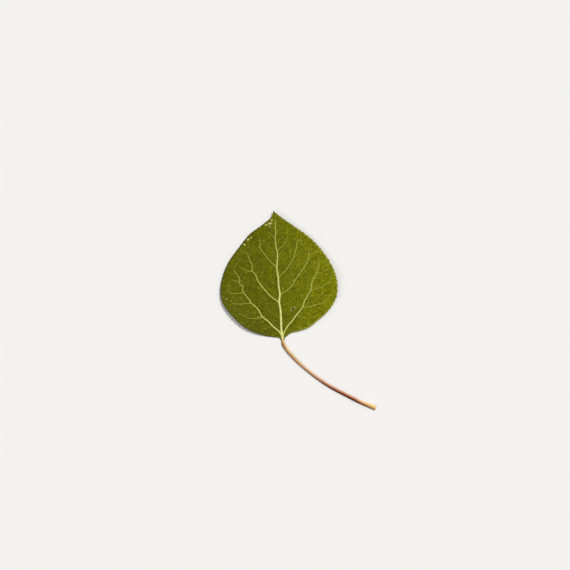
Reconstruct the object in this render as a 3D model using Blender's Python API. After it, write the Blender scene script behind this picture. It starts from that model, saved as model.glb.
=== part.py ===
"""A pressed quaking aspen leaf that lies face up on a surface: its blade and its stalk.

Lengths are in millimetres until a mesh is made, which is in metres. +Z is up, +Y runs towards the
leaf's tip and the surface is at z = 0. Plan points are measured from the blade's base, where the
stalk begins, and an empty there carries both pieces.
"""

import itertools
import math
import random
from dataclasses import dataclass

import bmesh
import bpy
import numpy as np
from mathutils import Vector
from mathutils.geometry import delaunay_2d_cdt

MM = 0.001

# The blade's base in the part's frame, whose origin is under the middle of the whole leaf
BASE_PLACE = (-5.57, -10.57)

# Lamina: its thickness, and the height of its underside where it lies flat
LAMINA_THICKNESS = 0.6
LAMINA_UNDERSIDE = 0.3

# Margin teeth: pitch along the margin, height, how many teeth they take to grow to that height
# from the base and from the tip, and the smooth stretches there
TOOTH_PITCH = 1.7
TOOTH_HEIGHT = 0.22
TEETH_TO_GROW = (5, 3)
SMOOTH_AT_BASE = 9.0
SMOOTH_AT_TIP = 3.0
SMOOTH_SPACING = 1.5
# A tooth's points: share of the pitch, and share of the height
TOOTH_SHAPE = ((0.0, 0.0), (0.45, 0.72), (0.78, 1.0))

# Neck: where the midrib leaves the blade and meets the stalk, with the gap between them
NECK_END = -0.5
NECK_HALF_WIDTH = 0.5
NECK_MIDDLE = 0.05
JOINT_GAP = 0.3

# Margin from the neck to the tip, on the right and on the left as seen from above
RIGHT_MARGIN = [
    (0.7, 0.6), (3.1, 2.3), (6.0, 3.0), (9.6, 4.4), (12.2, 6.4), (17.35, 11.4), (19.65, 15.9),
    (19.9, 20.3), (19.05, 24.2), (15.3, 31.1), (10.3, 36.75), (4.0, 41.35), (-1.9, 45.5),
    (-3.5, 46.9),
]
LEFT_MARGIN = [
    (-1.2, 0.6), (-6.3, 1.3), (-12.5, 3.5), (-18.4, 8.5), (-22.1, 13.9), (-22.7, 17.5),
    (-22.1, 22.0), (-19.9, 27.8), (-15.8, 33.7), (-12.2, 38.2), (-7.0, 42.1), (-3.9, 45.1),
    (-3.5, 46.9),
]

# Midrib, whose flat back rests on the surface as far as MIDRIB_FLAT_TO
MIDRIB = [
    (0.05, -0.5), (-0.5, 4.1), (-0.85, 11.0), (-1.0, 16.5), (-1.6, 22.5), (-2.1, 29.3),
    (-2.6, 36.7), (-2.9, 44.9), (-3.4, 46.3),
]
MIDRIB_FLAT_TO = 34.0

# Main side veins, right and left, from the base upwards
SIDE_VEINS = [
    [(0.3, 2.2), (3.4, 6.8), (7.4, 12.3), (10.1, 18.1), (12.3, 24.4), (13.1, 29.2), (13.0, 30.8)],
    [(-0.9, 16.05), (3.4, 19.6), (6.6, 24.6), (9.1, 28.7), (9.7, 33.2)],
    [(-1.5, 22.4), (1.6, 25.9), (3.7, 29.2), (5.2, 35.5)],
    [(-1.9, 32.2), (0.8, 34.7), (1.75, 38.0)],
    [(-0.5, 2.15), (-5.7, 7.1), (-10.1, 12.3), (-14.3, 17.6), (-15.8, 21.7), (-18.4, 27.2)],
    [(-1.6, 13.5), (-7.2, 18.8), (-11.1, 25.0), (-12.5, 30.0), (-12.7, 33.0)],
    [(-2.3, 26.4), (-6.0, 30.2), (-8.3, 34.0), (-8.6, 37.5)],
    [(-2.9, 36.8), (-5.9, 39.4)],
]

# Cross veins that leave the basal side veins for the margin
CROSS_VEINS = [
    [(7.4, 11.9), (12.3, 12.8), (17.0, 15.7)],
    [(10.4, 18.2), (14.4, 19.1), (18.3, 20.8)],
    [(5.6, 8.9), (7.8, 8.0), (12.3, 8.7)],
    [(12.3, 24.2), (16.0, 25.2)],
    [(-12.0, 13.2), (-15.3, 12.9), (-18.7, 13.1)],
    [(-14.3, 17.4), (-17.2, 16.8), (-20.2, 17.8)],
    [(-7.6, 8.6), (-10.4, 7.6), (-16.6, 9.5)],
    [(-15.8, 21.0), (-19.2, 21.9)],
    [(-11.3, 24.9), (-13.4, 25.0), (-16.3, 26.6)],
]


@dataclass
class Vein:
    """A raised rib. Its half width and rise run from the first value at its root to the last."""

    points: np.ndarray
    half_width: tuple
    rise: tuple
    flat_half_width: float = 0.0


# Half widths and rises of each order of vein, at root and end. On the underside the veins stand
# out further by a factor, as far as the surface, which presses them flat
MIDRIB_HALF_WIDTH = (0.85, 0.5)
MIDRIB_FLAT_HALF_WIDTH = 0.24
MIDRIB_RISE = (0.3, 0.14)
SIDE_HALF_WIDTH = (0.7, 0.5)
SIDE_RISE = (0.24, 0.1)
CROSS_HALF_WIDTH = (0.55, 0.5)
CROSS_RISE = (0.12, 0.08)
UNDERSIDE_RISE_FACTOR = 2.0
VEIN_SPACING = 1.6

# Fine net between the veins: the distance between its cells and how far its lines stand out
NET_PITCH = 2.4
NET_JITTER = 0.16
NET_RISE = 0.08
NET_SEED = 7

# Least distances between the blade's plan points, so that no triangle is a sliver
RAIL_CLEARANCE = 0.2
LINE_CLEARANCE = 0.5
FOOT_CLEARANCE = 0.36
NET_SPACING = 0.7
NET_CLEARANCE = 0.3

# Lift of the margin, as the dried blade stays slightly waved round a flat middle
MIDDLE = (-1.5, 20.5)
FLAT_SHARE = 0.45
LIFT_MEAN = 0.75
LIFT_WAVES = [(2, 0.30, 0.9), (3, 0.32, 2.4), (5, 0.18, 0.4), (7, 0.10, 1.7)]
BASE_CALM = 9.0

# Stalk: its middle line from just below the neck to its loose end
STALK_PATH = [
    (0.12, -1.3), (0.4, -1.97), (1.1, -3.13), (3.85, -6.44), (8.96, -11.18), (15.88, -16.26),
    (22.44, -19.9), (30.2, -23.64), (33.8, -24.95),
]
# Share of the stalk's length, with its width and height there: on edge at the blade, flat
# further down, rounder again towards the loose end, which is flared
STALK_SECTIONS = [
    (0.00, 1.00, 1.18), (0.05, 1.06, 1.10), (0.10, 1.28, 0.95), (0.17, 1.36, 0.78),
    (0.25, 1.22, 0.74), (0.33, 1.10, 0.76), (0.47, 1.08, 0.80), (0.60, 1.18, 0.85),
    (0.88, 1.22, 0.90), (0.95, 1.36, 1.00), (1.00, 1.64, 1.12),
]
STALK_SPACING = 1.15
STALK_SIDES = 16
# Share of the section's height by which its middle stands above the surface
STALK_MIDDLE_SHARE = 0.44
# The loose end was cut at a slant, which its last sections take up
LOOSE_END_SLANT = math.radians(10.0)
SLANT_FROM_SHARE = 0.93

# How curves are worked out: the step of their fine points, the spacing of the points kept, and
# how far to either side of a point its direction is taken
FINE_STEP = 0.05
CURVE_SPACING = 0.4
TANGENT_REACH = 0.3


def smooth_path(points, spacing):
    """Evenly spaced points on a smooth curve through the given points.

    Each span is a cubic whose slopes at its ends follow the neighbouring points.
    """
    p = np.asarray(points, float)
    knots = np.concatenate([[0.0], np.cumsum(np.linalg.norm(np.diff(p, axis=0), axis=1))])
    slopes = np.gradient(p, knots, axis=0)
    fine = np.linspace(0.0, knots[-1], max(2, int(knots[-1] / FINE_STEP)))
    span = np.clip(np.searchsorted(knots, fine, side="right") - 1, 0, len(knots) - 2)
    length = (knots[span + 1] - knots[span])[:, None]
    t = (fine - knots[span])[:, None] / length
    curve = (
        (2 * t**3 - 3 * t**2 + 1) * p[span]
        + (t**3 - 2 * t**2 + t) * length * slopes[span]
        + (3 * t**2 - 2 * t**3) * p[span + 1]
        + (t**3 - t**2) * length * slopes[span + 1]
    )
    run = np.concatenate([[0.0], np.cumsum(np.linalg.norm(np.diff(curve, axis=0), axis=1))])
    count = max(2, round(run[-1] / spacing) + 1)
    stops = np.linspace(0.0, run[-1], count)
    return np.stack([np.interp(stops, run, curve[:, axis]) for axis in (0, 1)], axis=1)


def along(curve, distance, side):
    """The point at a distance along a curve, and the normal on its right (1) or left (-1)."""
    run = np.concatenate([[0.0], np.cumsum(np.linalg.norm(np.diff(curve, axis=0), axis=1))])
    point = np.array([np.interp(distance, run, curve[:, axis]) for axis in (0, 1)])
    near, far = distance - TANGENT_REACH, distance + TANGENT_REACH
    behind = np.array([np.interp(near, run, curve[:, axis]) for axis in (0, 1)])
    ahead = np.array([np.interp(far, run, curve[:, axis]) for axis in (0, 1)])
    tangent = (ahead - behind) / np.linalg.norm(ahead - behind)
    return point, side * np.array([tangent[1], -tangent[0]])


def toothed_side(margin, side):
    """One side of the margin from base to tip, with teeth that point towards the tip.

    A tooth rises in a long shallow curve from its root and falls back steeply.
    """
    curve = smooth_path(margin, CURVE_SPACING)
    length = float(np.linalg.norm(np.diff(curve, axis=0), axis=1).sum())
    toothed_length = length - SMOOTH_AT_BASE - SMOOTH_AT_TIP
    teeth = round(toothed_length / TOOTH_PITCH)
    pitch = toothed_length / teeth
    smooth_stops = np.arange(0.0, SMOOTH_AT_BASE, SMOOTH_SPACING)
    points = [along(curve, stop, side)[0] for stop in smooth_stops]
    for tooth in range(teeth):
        grown = min(1.0, (tooth + 1) / TEETH_TO_GROW[0], (teeth - tooth) / TEETH_TO_GROW[1])
        for share, rise in TOOTH_SHAPE:
            stop = SMOOTH_AT_BASE + (tooth + share) * pitch
            point, outward = along(curve, stop, side)
            points.append(point + outward * TOOTH_HEIGHT * grown * (rise - 0.5))
    last_stops = np.arange(length - SMOOTH_AT_TIP, length + 0.5 * SMOOTH_SPACING, SMOOTH_SPACING)
    points.extend(along(curve, stop, side)[0] for stop in last_stops)
    return points


def blade_outline():
    """The blade's closed outline, anticlockwise from the neck's left corner."""
    neck = [
        np.array([NECK_MIDDLE - NECK_HALF_WIDTH, NECK_END]),
        np.array([NECK_MIDDLE + NECK_HALF_WIDTH, NECK_END]),
    ]
    right = toothed_side(RIGHT_MARGIN, 1)
    left = toothed_side(LEFT_MARGIN, -1)
    return np.array(neck + right + left[-2::-1])


def all_veins():
    """Every vein of the blade, the midrib first."""
    midrib = smooth_path(MIDRIB, CURVE_SPACING)
    veins = [Vein(midrib, MIDRIB_HALF_WIDTH, MIDRIB_RISE, MIDRIB_FLAT_HALF_WIDTH)]
    for routes, half_width, rise in (
        (SIDE_VEINS, SIDE_HALF_WIDTH, SIDE_RISE),
        (CROSS_VEINS, CROSS_HALF_WIDTH, CROSS_RISE),
    ):
        veins += [Vein(smooth_path(route, CURVE_SPACING), half_width, rise) for route in routes]
    return veins


def distance_and_share(points, curve):
    """For each point, its distance to a curve and the share of the curve's length there."""
    start, run = curve[:-1], np.diff(curve, axis=0)
    squares = (run**2).sum(axis=1)
    offset = points[:, None, :] - start[None]
    t = np.clip((offset * run[None]).sum(axis=2) / squares[None], 0.0, 1.0)
    gap = np.linalg.norm(offset - t[..., None] * run[None], axis=2)
    nearest = gap.argmin(axis=1)
    rows = np.arange(len(points))
    return gap[rows, nearest], (nearest + t[rows, nearest]) / len(run)


def vein_size(vein, share):
    """A vein's half width and rise at a share of its length."""
    half_width = vein.half_width[0] + share * (vein.half_width[1] - vein.half_width[0])
    rise = vein.rise[0] + share * (vein.rise[1] - vein.rise[0])
    return half_width, rise


def vein_relief(points, veins):
    """How far the veins rise above the lamina: each is a ridge that falls off to its feet."""
    relief = np.zeros(len(points))
    for vein in veins:
        gap, share = distance_and_share(points, vein.points)
        half_width, rise = vein_size(vein, share)
        slope = (half_width - gap) / (half_width - vein.flat_half_width)
        relief = np.maximum(relief, rise * np.clip(slope, 0.0, 1.0))
    return relief


def vein_clearance(point, veins):
    """How far a point lies outside the foot of the nearest vein; below zero within it."""
    clear = math.inf
    for vein in veins:
        gap, share = distance_and_share(point[None], vein.points)
        clear = min(clear, float((gap - vein_size(vein, share)[0])[0]))
    return clear


def margin_reach():
    """Angle and distance of the smooth margin from the blade's middle, in order of angle."""
    sides = [smooth_path(side, CURVE_SPACING) for side in (RIGHT_MARGIN, LEFT_MARGIN)]
    margin = np.concatenate(sides)
    away = margin - MIDDLE
    angle = np.arctan2(away[:, 1], away[:, 0])
    order = angle.argsort()
    return angle[order], np.linalg.norm(away, axis=1)[order]


def margin_lift(points):
    """Lift of the dried blade: none in the middle, growing smoothly to a waved margin."""
    away = points - MIDDLE
    angle = np.arctan2(away[:, 1], away[:, 0])
    margin_angle, margin_distance = margin_reach()
    reach = np.interp(angle, margin_angle, margin_distance, period=2 * math.pi)
    share = np.clip((np.linalg.norm(away, axis=1) / reach - FLAT_SHARE) / (1 - FLAT_SHARE), 0, 1.1)
    waves = LIFT_MEAN + sum(size * np.sin(n * angle + turn) for n, size, turn in LIFT_WAVES)
    from_base = np.linalg.norm(points, axis=1)
    calm = 1 - np.exp(-((from_base / BASE_CALM) ** 2))
    return share**2 * waves * calm


class PlanPoints:
    """Plan points for the blade's triangles, none nearer to another than it may be."""

    def __init__(self, outline):
        self.points = [np.asarray(p) for p in outline]
        count = len(outline)
        self.edges = [(i, (i + 1) % count) for i in range(count)]
        self.net_lines = set()
        self.outline = np.asarray(outline)

    def nearest(self, point):
        """The index of the nearest point, and its distance."""
        gaps = np.linalg.norm(np.array(self.points) - point, axis=1)
        index = int(gaps.argmin())
        return index, gaps[index]

    def add(self, point, least):
        """Add a point that is clear of the others by the least distance. Returns its index."""
        if self.nearest(point)[1] < least:
            return None
        self.points.append(np.asarray(point))
        return len(self.points) - 1

    def line(self, points, least):
        """Lay an edge line along the points. One too near another point takes its place."""
        last = None
        for point in points:
            index = self.add(point, least)
            if index is None:
                index = self.nearest(point)[0]
            if last is not None and index != last:
                self.edges.append((last, index))
            last = index

    def inside(self, point):
        """Whether a point lies inside the outline, by counting crossings."""
        x, y = point
        start, end = self.outline, np.roll(self.outline, -1, axis=0)
        spans = (start[:, 1] > y) != (end[:, 1] > y)
        rise = np.where(spans, end[:, 1] - start[:, 1], 1.0)
        crossing = start[:, 0] + (y - start[:, 1]) / rise * (end[:, 0] - start[:, 0])
        return bool((spans & (crossing > x)).sum() % 2)

    def triangles(self):
        """Triangles between the points that keep every edge line, inside the outline only."""
        flat, _, faces, origins, _, _ = delaunay_2d_cdt(
            [Vector(p) for p in self.points], self.edges, [], 0, 1e-5, True
        )
        points = np.array([tuple(v) for v in flat])
        kept = [face for face in faces if self.inside(points[list(face)].mean(axis=0))]
        on_net = np.array([bool(self.net_lines.intersection(own)) for own in origins])
        return points, kept, on_net


def add_vein_points(plan, veins):
    """Lay the veins' ridge lines and the feet beside them into the plan."""
    midrib = smooth_path(MIDRIB, VEIN_SPACING)
    flat_count = int((midrib[:, 1] < MIDRIB_FLAT_TO).sum())
    for side in (-1, 1):
        rail = [np.array([NECK_MIDDLE + side * NECK_HALF_WIDTH, NECK_END])]
        for step in range(1, flat_count):
            point, normal = along(midrib, step * VEIN_SPACING, side)
            rail.append(point + normal * MIDRIB_FLAT_HALF_WIDTH)
        plan.line(rail + [midrib[flat_count]], RAIL_CLEARANCE)
    plan.line(midrib[flat_count:], RAIL_CLEARANCE)
    for vein in veins[1:]:
        stops = vein_stops(vein)
        plan.line([along(vein.points, stop, 1)[0] for stop in stops], LINE_CLEARANCE)
    for vein, side in itertools.product(veins, (-1, 1)):
        stops = vein_stops(vein)
        last = None
        for stop in stops:
            half_width = vein_size(vein, stop / stops[-1])[0]
            point, normal = along(vein.points, stop, side)
            foot = point + normal * half_width
            index = None
            if plan.inside(foot) and vein_clearance(foot, veins) > -0.1 * half_width:
                index = plan.add(foot, FOOT_CLEARANCE)
            if index is not None and last is not None:
                plan.edges.append((last, index))
            last = index


def vein_stops(vein):
    """Evenly spaced distances along a vein, from its root to its end."""
    length = float(np.linalg.norm(np.diff(vein.points, axis=0), axis=1).sum())
    return np.linspace(0.0, length, round(length / VEIN_SPACING) + 1)


def add_net_points(plan, veins):
    """Fill the blade with the cells of the fine net, a slightly uneven honeycomb.

    A cell has a point in its middle, which stays low, and its corners are the net's lines.
    """
    rng = random.Random(NET_SEED)
    row_height = NET_PITCH * math.sqrt(3) / 2
    low, high = plan.outline.min(axis=0), plan.outline.max(axis=0)
    lattice = []
    for row in range(int((high[1] - low[1]) / row_height) + 2):
        for column in range(int((high[0] - low[0]) / NET_PITCH) + 2):
            x = low[0] + (column + 0.5 * (row % 2)) * NET_PITCH
            y = low[1] + row * row_height
            lattice.append((x, y, False))
            lattice.append((x, y + row_height * 2 / 3, True))
            lattice.append((x + NET_PITCH / 2, y + row_height / 3, True))
    for x, y, on_line in lattice:
        spot = np.array([x + rng.gauss(0, NET_JITTER), y + rng.gauss(0, NET_JITTER)])
        if not plan.inside(spot) or vein_clearance(spot, veins) < NET_CLEARANCE:
            continue
        index = plan.add(spot, NET_SPACING)
        if index is not None and on_line:
            plan.net_lines.add(index)


def make_object(name, mesh, parent, colour, roughness):
    """Link a mesh as a named object with its own material, under its parent."""
    thing = bpy.data.objects.new(name, mesh)
    bpy.context.scene.collection.objects.link(thing)
    thing.parent = parent
    material = bpy.data.materials.new(name + "_surface")
    material.use_nodes = True
    shader = material.node_tree.nodes["Principled BSDF"]
    shader.inputs["Base Color"].default_value = colour
    shader.inputs["Roughness"].default_value = roughness
    shader.inputs["Metallic"].default_value = 0.0
    material.diffuse_color = colour
    mesh.materials.append(material)
    return thing


def build_blade(parent):
    """The blade: a sheet of triangles, extruded, with both faces shaped by the same formula."""
    veins = all_veins()
    plan = PlanPoints(blade_outline())
    add_vein_points(plan, veins)
    add_net_points(plan, veins)
    points, faces, on_net = plan.triangles()
    lift = margin_lift(points)
    relief = vein_relief(points, veins)
    net = np.where(on_net, NET_RISE, 0.0)
    top = LAMINA_UNDERSIDE + LAMINA_THICKNESS + lift + np.maximum(relief, net)
    underside = LAMINA_UNDERSIDE + lift - np.maximum(relief * UNDERSIDE_RISE_FACTOR, net)
    underside = np.maximum(underside, 0.0)

    bm = bmesh.new()
    low = [bm.verts.new((x * MM, y * MM, z * MM)) for (x, y), z in zip(points, underside)]
    for face in faces:
        bm.faces.new([low[i] for i in face])
    raised = bmesh.ops.extrude_face_region(bm, geom=bm.faces[:] + bm.edges[:] + bm.verts[:])
    place = {(v.co.x, v.co.y): z for v, z in zip(low, top)}
    for item in raised["geom"]:
        if isinstance(item, bmesh.types.BMVert):
            item.co.z = place[(item.co.x, item.co.y)] * MM
    walls = [f for f in bm.faces if len(f.verts) == 4]
    bmesh.ops.triangulate(bm, faces=walls)
    bmesh.ops.recalc_face_normals(bm, faces=bm.faces[:])
    mesh = bpy.data.meshes.new("leaf_blade")
    bm.to_mesh(mesh)
    bm.free()
    return make_object("leaf_blade", mesh, parent, (0.125, 0.145, 0.008, 1.0), 0.55)


def stalk_ring(bm, middle, across, width, height, slant):
    """One cross-section of the stalk: an ellipse with its foot pressed flat on the surface."""
    tangent = np.array([-across[1], across[0]])
    ring = []
    for step in range(STALK_SIDES):
        angle = 2 * math.pi * (step + 0.5) / STALK_SIDES
        sideways = 0.5 * width * math.cos(angle)
        up = height * STALK_MIDDLE_SHARE + height * (1 - STALK_MIDDLE_SHARE) * math.sin(angle)
        spot = middle + across * sideways + tangent * sideways * math.tan(slant)
        ring.append(bm.verts.new((spot[0] * MM, spot[1] * MM, max(0.0, up) * MM)))
    return [bm.edges.new((ring[i], ring[(i + 1) % STALK_SIDES])) for i in range(STALK_SIDES)]


def build_stalk(parent):
    """The stalk: cross-sections carried along its path and bridged, with closed ends."""
    start = (NECK_MIDDLE, NECK_END - JOINT_GAP)
    path = smooth_path([start] + STALK_PATH, STALK_SPACING)
    run = np.concatenate([[0.0], np.cumsum(np.linalg.norm(np.diff(path, axis=0), axis=1))])
    shares, widths, heights = (np.array(column) for column in zip(*STALK_SECTIONS))
    bm = bmesh.new()
    rings = []
    for stop in run:
        share = stop / run[-1]
        middle, across = along(path, stop, 1)
        slant = LOOSE_END_SLANT * max(0.0, (share - SLANT_FROM_SHARE) / (1 - SLANT_FROM_SHARE))
        width, height = np.interp(share, shares, widths), np.interp(share, shares, heights)
        rings.append(stalk_ring(bm, middle, across, width, height, slant))
    for first, second in zip(rings[:-1], rings[1:]):
        bmesh.ops.bridge_loops(bm, edges=first + second)
    bmesh.ops.contextual_create(bm, geom=rings[0])
    bmesh.ops.contextual_create(bm, geom=rings[-1])
    bmesh.ops.triangulate(bm, faces=bm.faces[:])
    bmesh.ops.recalc_face_normals(bm, faces=bm.faces[:])
    mesh = bpy.data.meshes.new("leaf_stalk")
    bm.to_mesh(mesh)
    bm.free()
    mesh.shade_smooth()
    mesh.set_sharp_from_angle(angle=math.radians(40))
    return make_object("leaf_stalk", mesh, parent, (0.5, 0.28, 0.15, 1.0), 0.5)


def main():
    """Clear the scene and build the leaf under an empty at the blade's base."""
    for thing in list(bpy.data.objects):
        bpy.data.objects.remove(thing)
    base = bpy.data.objects.new("blade_base", None)
    base.location = (BASE_PLACE[0] * MM, BASE_PLACE[1] * MM, 0.0)
    bpy.context.scene.collection.objects.link(base)
    build_blade(base)
    build_stalk(base)


main()
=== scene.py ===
"""The finished look of a pressed quaking aspen leaf, which lies face up on a pale surface.

Plan lengths are millimetres from the blade's base, where the stalk begins, with +Y towards the tip,
and heights are millimetres above the surface. A piece's points are moved to the frame, in metres,
when its mesh is made.
"""

import logging
import math
from dataclasses import dataclass
from enum import Enum
from functools import cached_property

import bpy
import numpy as np
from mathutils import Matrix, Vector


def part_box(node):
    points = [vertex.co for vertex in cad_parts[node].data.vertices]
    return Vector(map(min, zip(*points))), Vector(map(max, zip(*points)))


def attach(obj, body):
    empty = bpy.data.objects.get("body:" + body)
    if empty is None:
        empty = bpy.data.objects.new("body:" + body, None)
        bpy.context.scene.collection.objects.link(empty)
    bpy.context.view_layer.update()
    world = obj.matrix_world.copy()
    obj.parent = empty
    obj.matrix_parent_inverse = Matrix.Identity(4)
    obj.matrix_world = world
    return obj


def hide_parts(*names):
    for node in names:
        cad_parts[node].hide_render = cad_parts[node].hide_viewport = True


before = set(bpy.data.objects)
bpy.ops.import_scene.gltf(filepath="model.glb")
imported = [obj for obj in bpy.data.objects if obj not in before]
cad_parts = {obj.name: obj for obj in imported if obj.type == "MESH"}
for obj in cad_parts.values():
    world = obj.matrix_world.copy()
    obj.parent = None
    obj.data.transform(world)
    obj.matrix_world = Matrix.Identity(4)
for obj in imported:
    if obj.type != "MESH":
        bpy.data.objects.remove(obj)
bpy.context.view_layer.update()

LOG = logging.getLogger("aspen_leaf")
MM = 0.001
CURVE_STEP = 0.05
CHORD_STEP = 0.4
CLOSE_STATIONS = 2000

Pair = tuple[float, float]
Route = tuple[Pair, ...]
Stops = tuple[tuple[float, str], ...]
Socket = bpy.types.NodeSocket


class Part(Enum):
    """The solids that the pieces stand for, each with its material slot."""

    BLADE = ("leaf_blade", "dried_blade")
    STALK = ("leaf_stalk", "dried_stalk")


def smooth_step(value: np.ndarray, low: float, high: float) -> np.ndarray:
    """Nought up to `low`, one from `high`, and an S-shaped cubic between them."""
    t = np.clip((value - low) / (high - low), 0.0, 1.0)
    return t * t * (3.0 - 2.0 * t)


def bell(value: np.ndarray, width: float) -> np.ndarray:
    """A bell curve: one at nought, and e to the power of minus one at `width`."""
    return np.exp(-((value / width) ** 2))


def blend(pair: Pair, share: np.ndarray) -> np.ndarray:
    """An even run from the pair's first value to its second."""
    return pair[0] + share * (pair[1] - pair[0])


def turns(sides: int, first: float = 0.0) -> np.ndarray:
    """Angles at even steps round a ring, from the given number of steps on."""
    return 2 * math.pi * (np.arange(sides) + first) / sides


@dataclass(frozen=True)
class Curve:
    """A plan curve, kept as close points with the distance run to each of them."""

    points: np.ndarray
    run: np.ndarray

    @staticmethod
    def of(points: np.ndarray) -> "Curve":
        """A curve straight through close points."""
        steps = np.linalg.norm(np.diff(points, axis=0), axis=1)
        return Curve(points, np.concatenate([[0.0], np.cumsum(steps)]))

    @staticmethod
    def through(route: Route) -> "Curve":
        """A smooth curve through a few points.

        Each span is the cubic whose slopes at its ends follow the neighbouring points.

        Args:
            route: The points.

        Returns:
            The curve.
        """
        p = np.asarray(route, float)
        knots = Curve.of(p).run
        slopes = np.gradient(p, knots, axis=0)
        fine = np.linspace(0.0, knots[-1], max(2, int(knots[-1] / CURVE_STEP)))
        span = np.clip(np.searchsorted(knots, fine, side="right") - 1, 0, len(knots) - 2)
        length = (knots[span + 1] - knots[span])[:, None]
        t = (fine - knots[span])[:, None] / length
        return Curve.of(
            (2 * t**3 - 3 * t**2 + 1) * p[span]
            + (t**3 - 2 * t**2 + t) * length * slopes[span]
            + (3 * t**2 - 2 * t**3) * p[span + 1]
            + (t**3 - t**2) * length * slopes[span + 1]
        )

    @property
    def length(self) -> float:
        """The curve's whole length."""
        return float(self.run[-1])

    def at(self, stops: np.ndarray) -> np.ndarray:
        """The points at distances along the curve."""
        return np.stack([np.interp(stops, self.run, self.points[:, a]) for a in (0, 1)], axis=-1)

    def right_of(self, stops: np.ndarray, reach: float = 0.3) -> np.ndarray:
        """Unit normals to the right, square to the chord that reaches a little both ways."""
        chord = self.at(stops + reach) - self.at(stops - reach)
        return chord[..., ::-1] * (1, -1) / np.linalg.norm(chord, axis=-1, keepdims=True)

    def gap_and_share(self, spots: np.ndarray, within: float) -> tuple[np.ndarray, np.ndarray]:
        """How far spots lie from the curve: the shortest distance to any of its short chords.

        Args:
            spots: Plan points, one a row.
            within: Spots further than this outside the curve's box are skipped.

        Returns:
            The distances, infinite for skipped spots, and the shares of the length there.
        """
        gap, share = np.full(len(spots), np.inf), np.zeros(len(spots))
        corners = self.at(np.linspace(0.0, self.length, max(2, int(self.length / CHORD_STEP))))
        low, high = corners.min(axis=0) - within, corners.max(axis=0) + within
        near = ((spots > low) & (spots < high)).all(axis=1)
        start, chord = corners[:-1], np.diff(corners, axis=0)
        offset = spots[near][:, None] - start[None]
        t = np.clip((offset * chord).sum(axis=2) / (chord**2).sum(axis=1), 0.0, 1.0)
        away = np.linalg.norm(offset - t[..., None] * chord, axis=2)
        if len(away):
            best, rows = away.argmin(axis=1), np.arange(len(away))
            gap[near] = away[rows, best]
            share[near] = (best + t[rows, best]) / len(chord)
        return gap, share


@dataclass(frozen=True)
class Rim:
    """Points round the blade's margin, anticlockwise, with their outward normals and teeth."""

    points: np.ndarray
    outward: np.ndarray
    tooth: np.ndarray
    tooth_tip: np.ndarray


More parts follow.
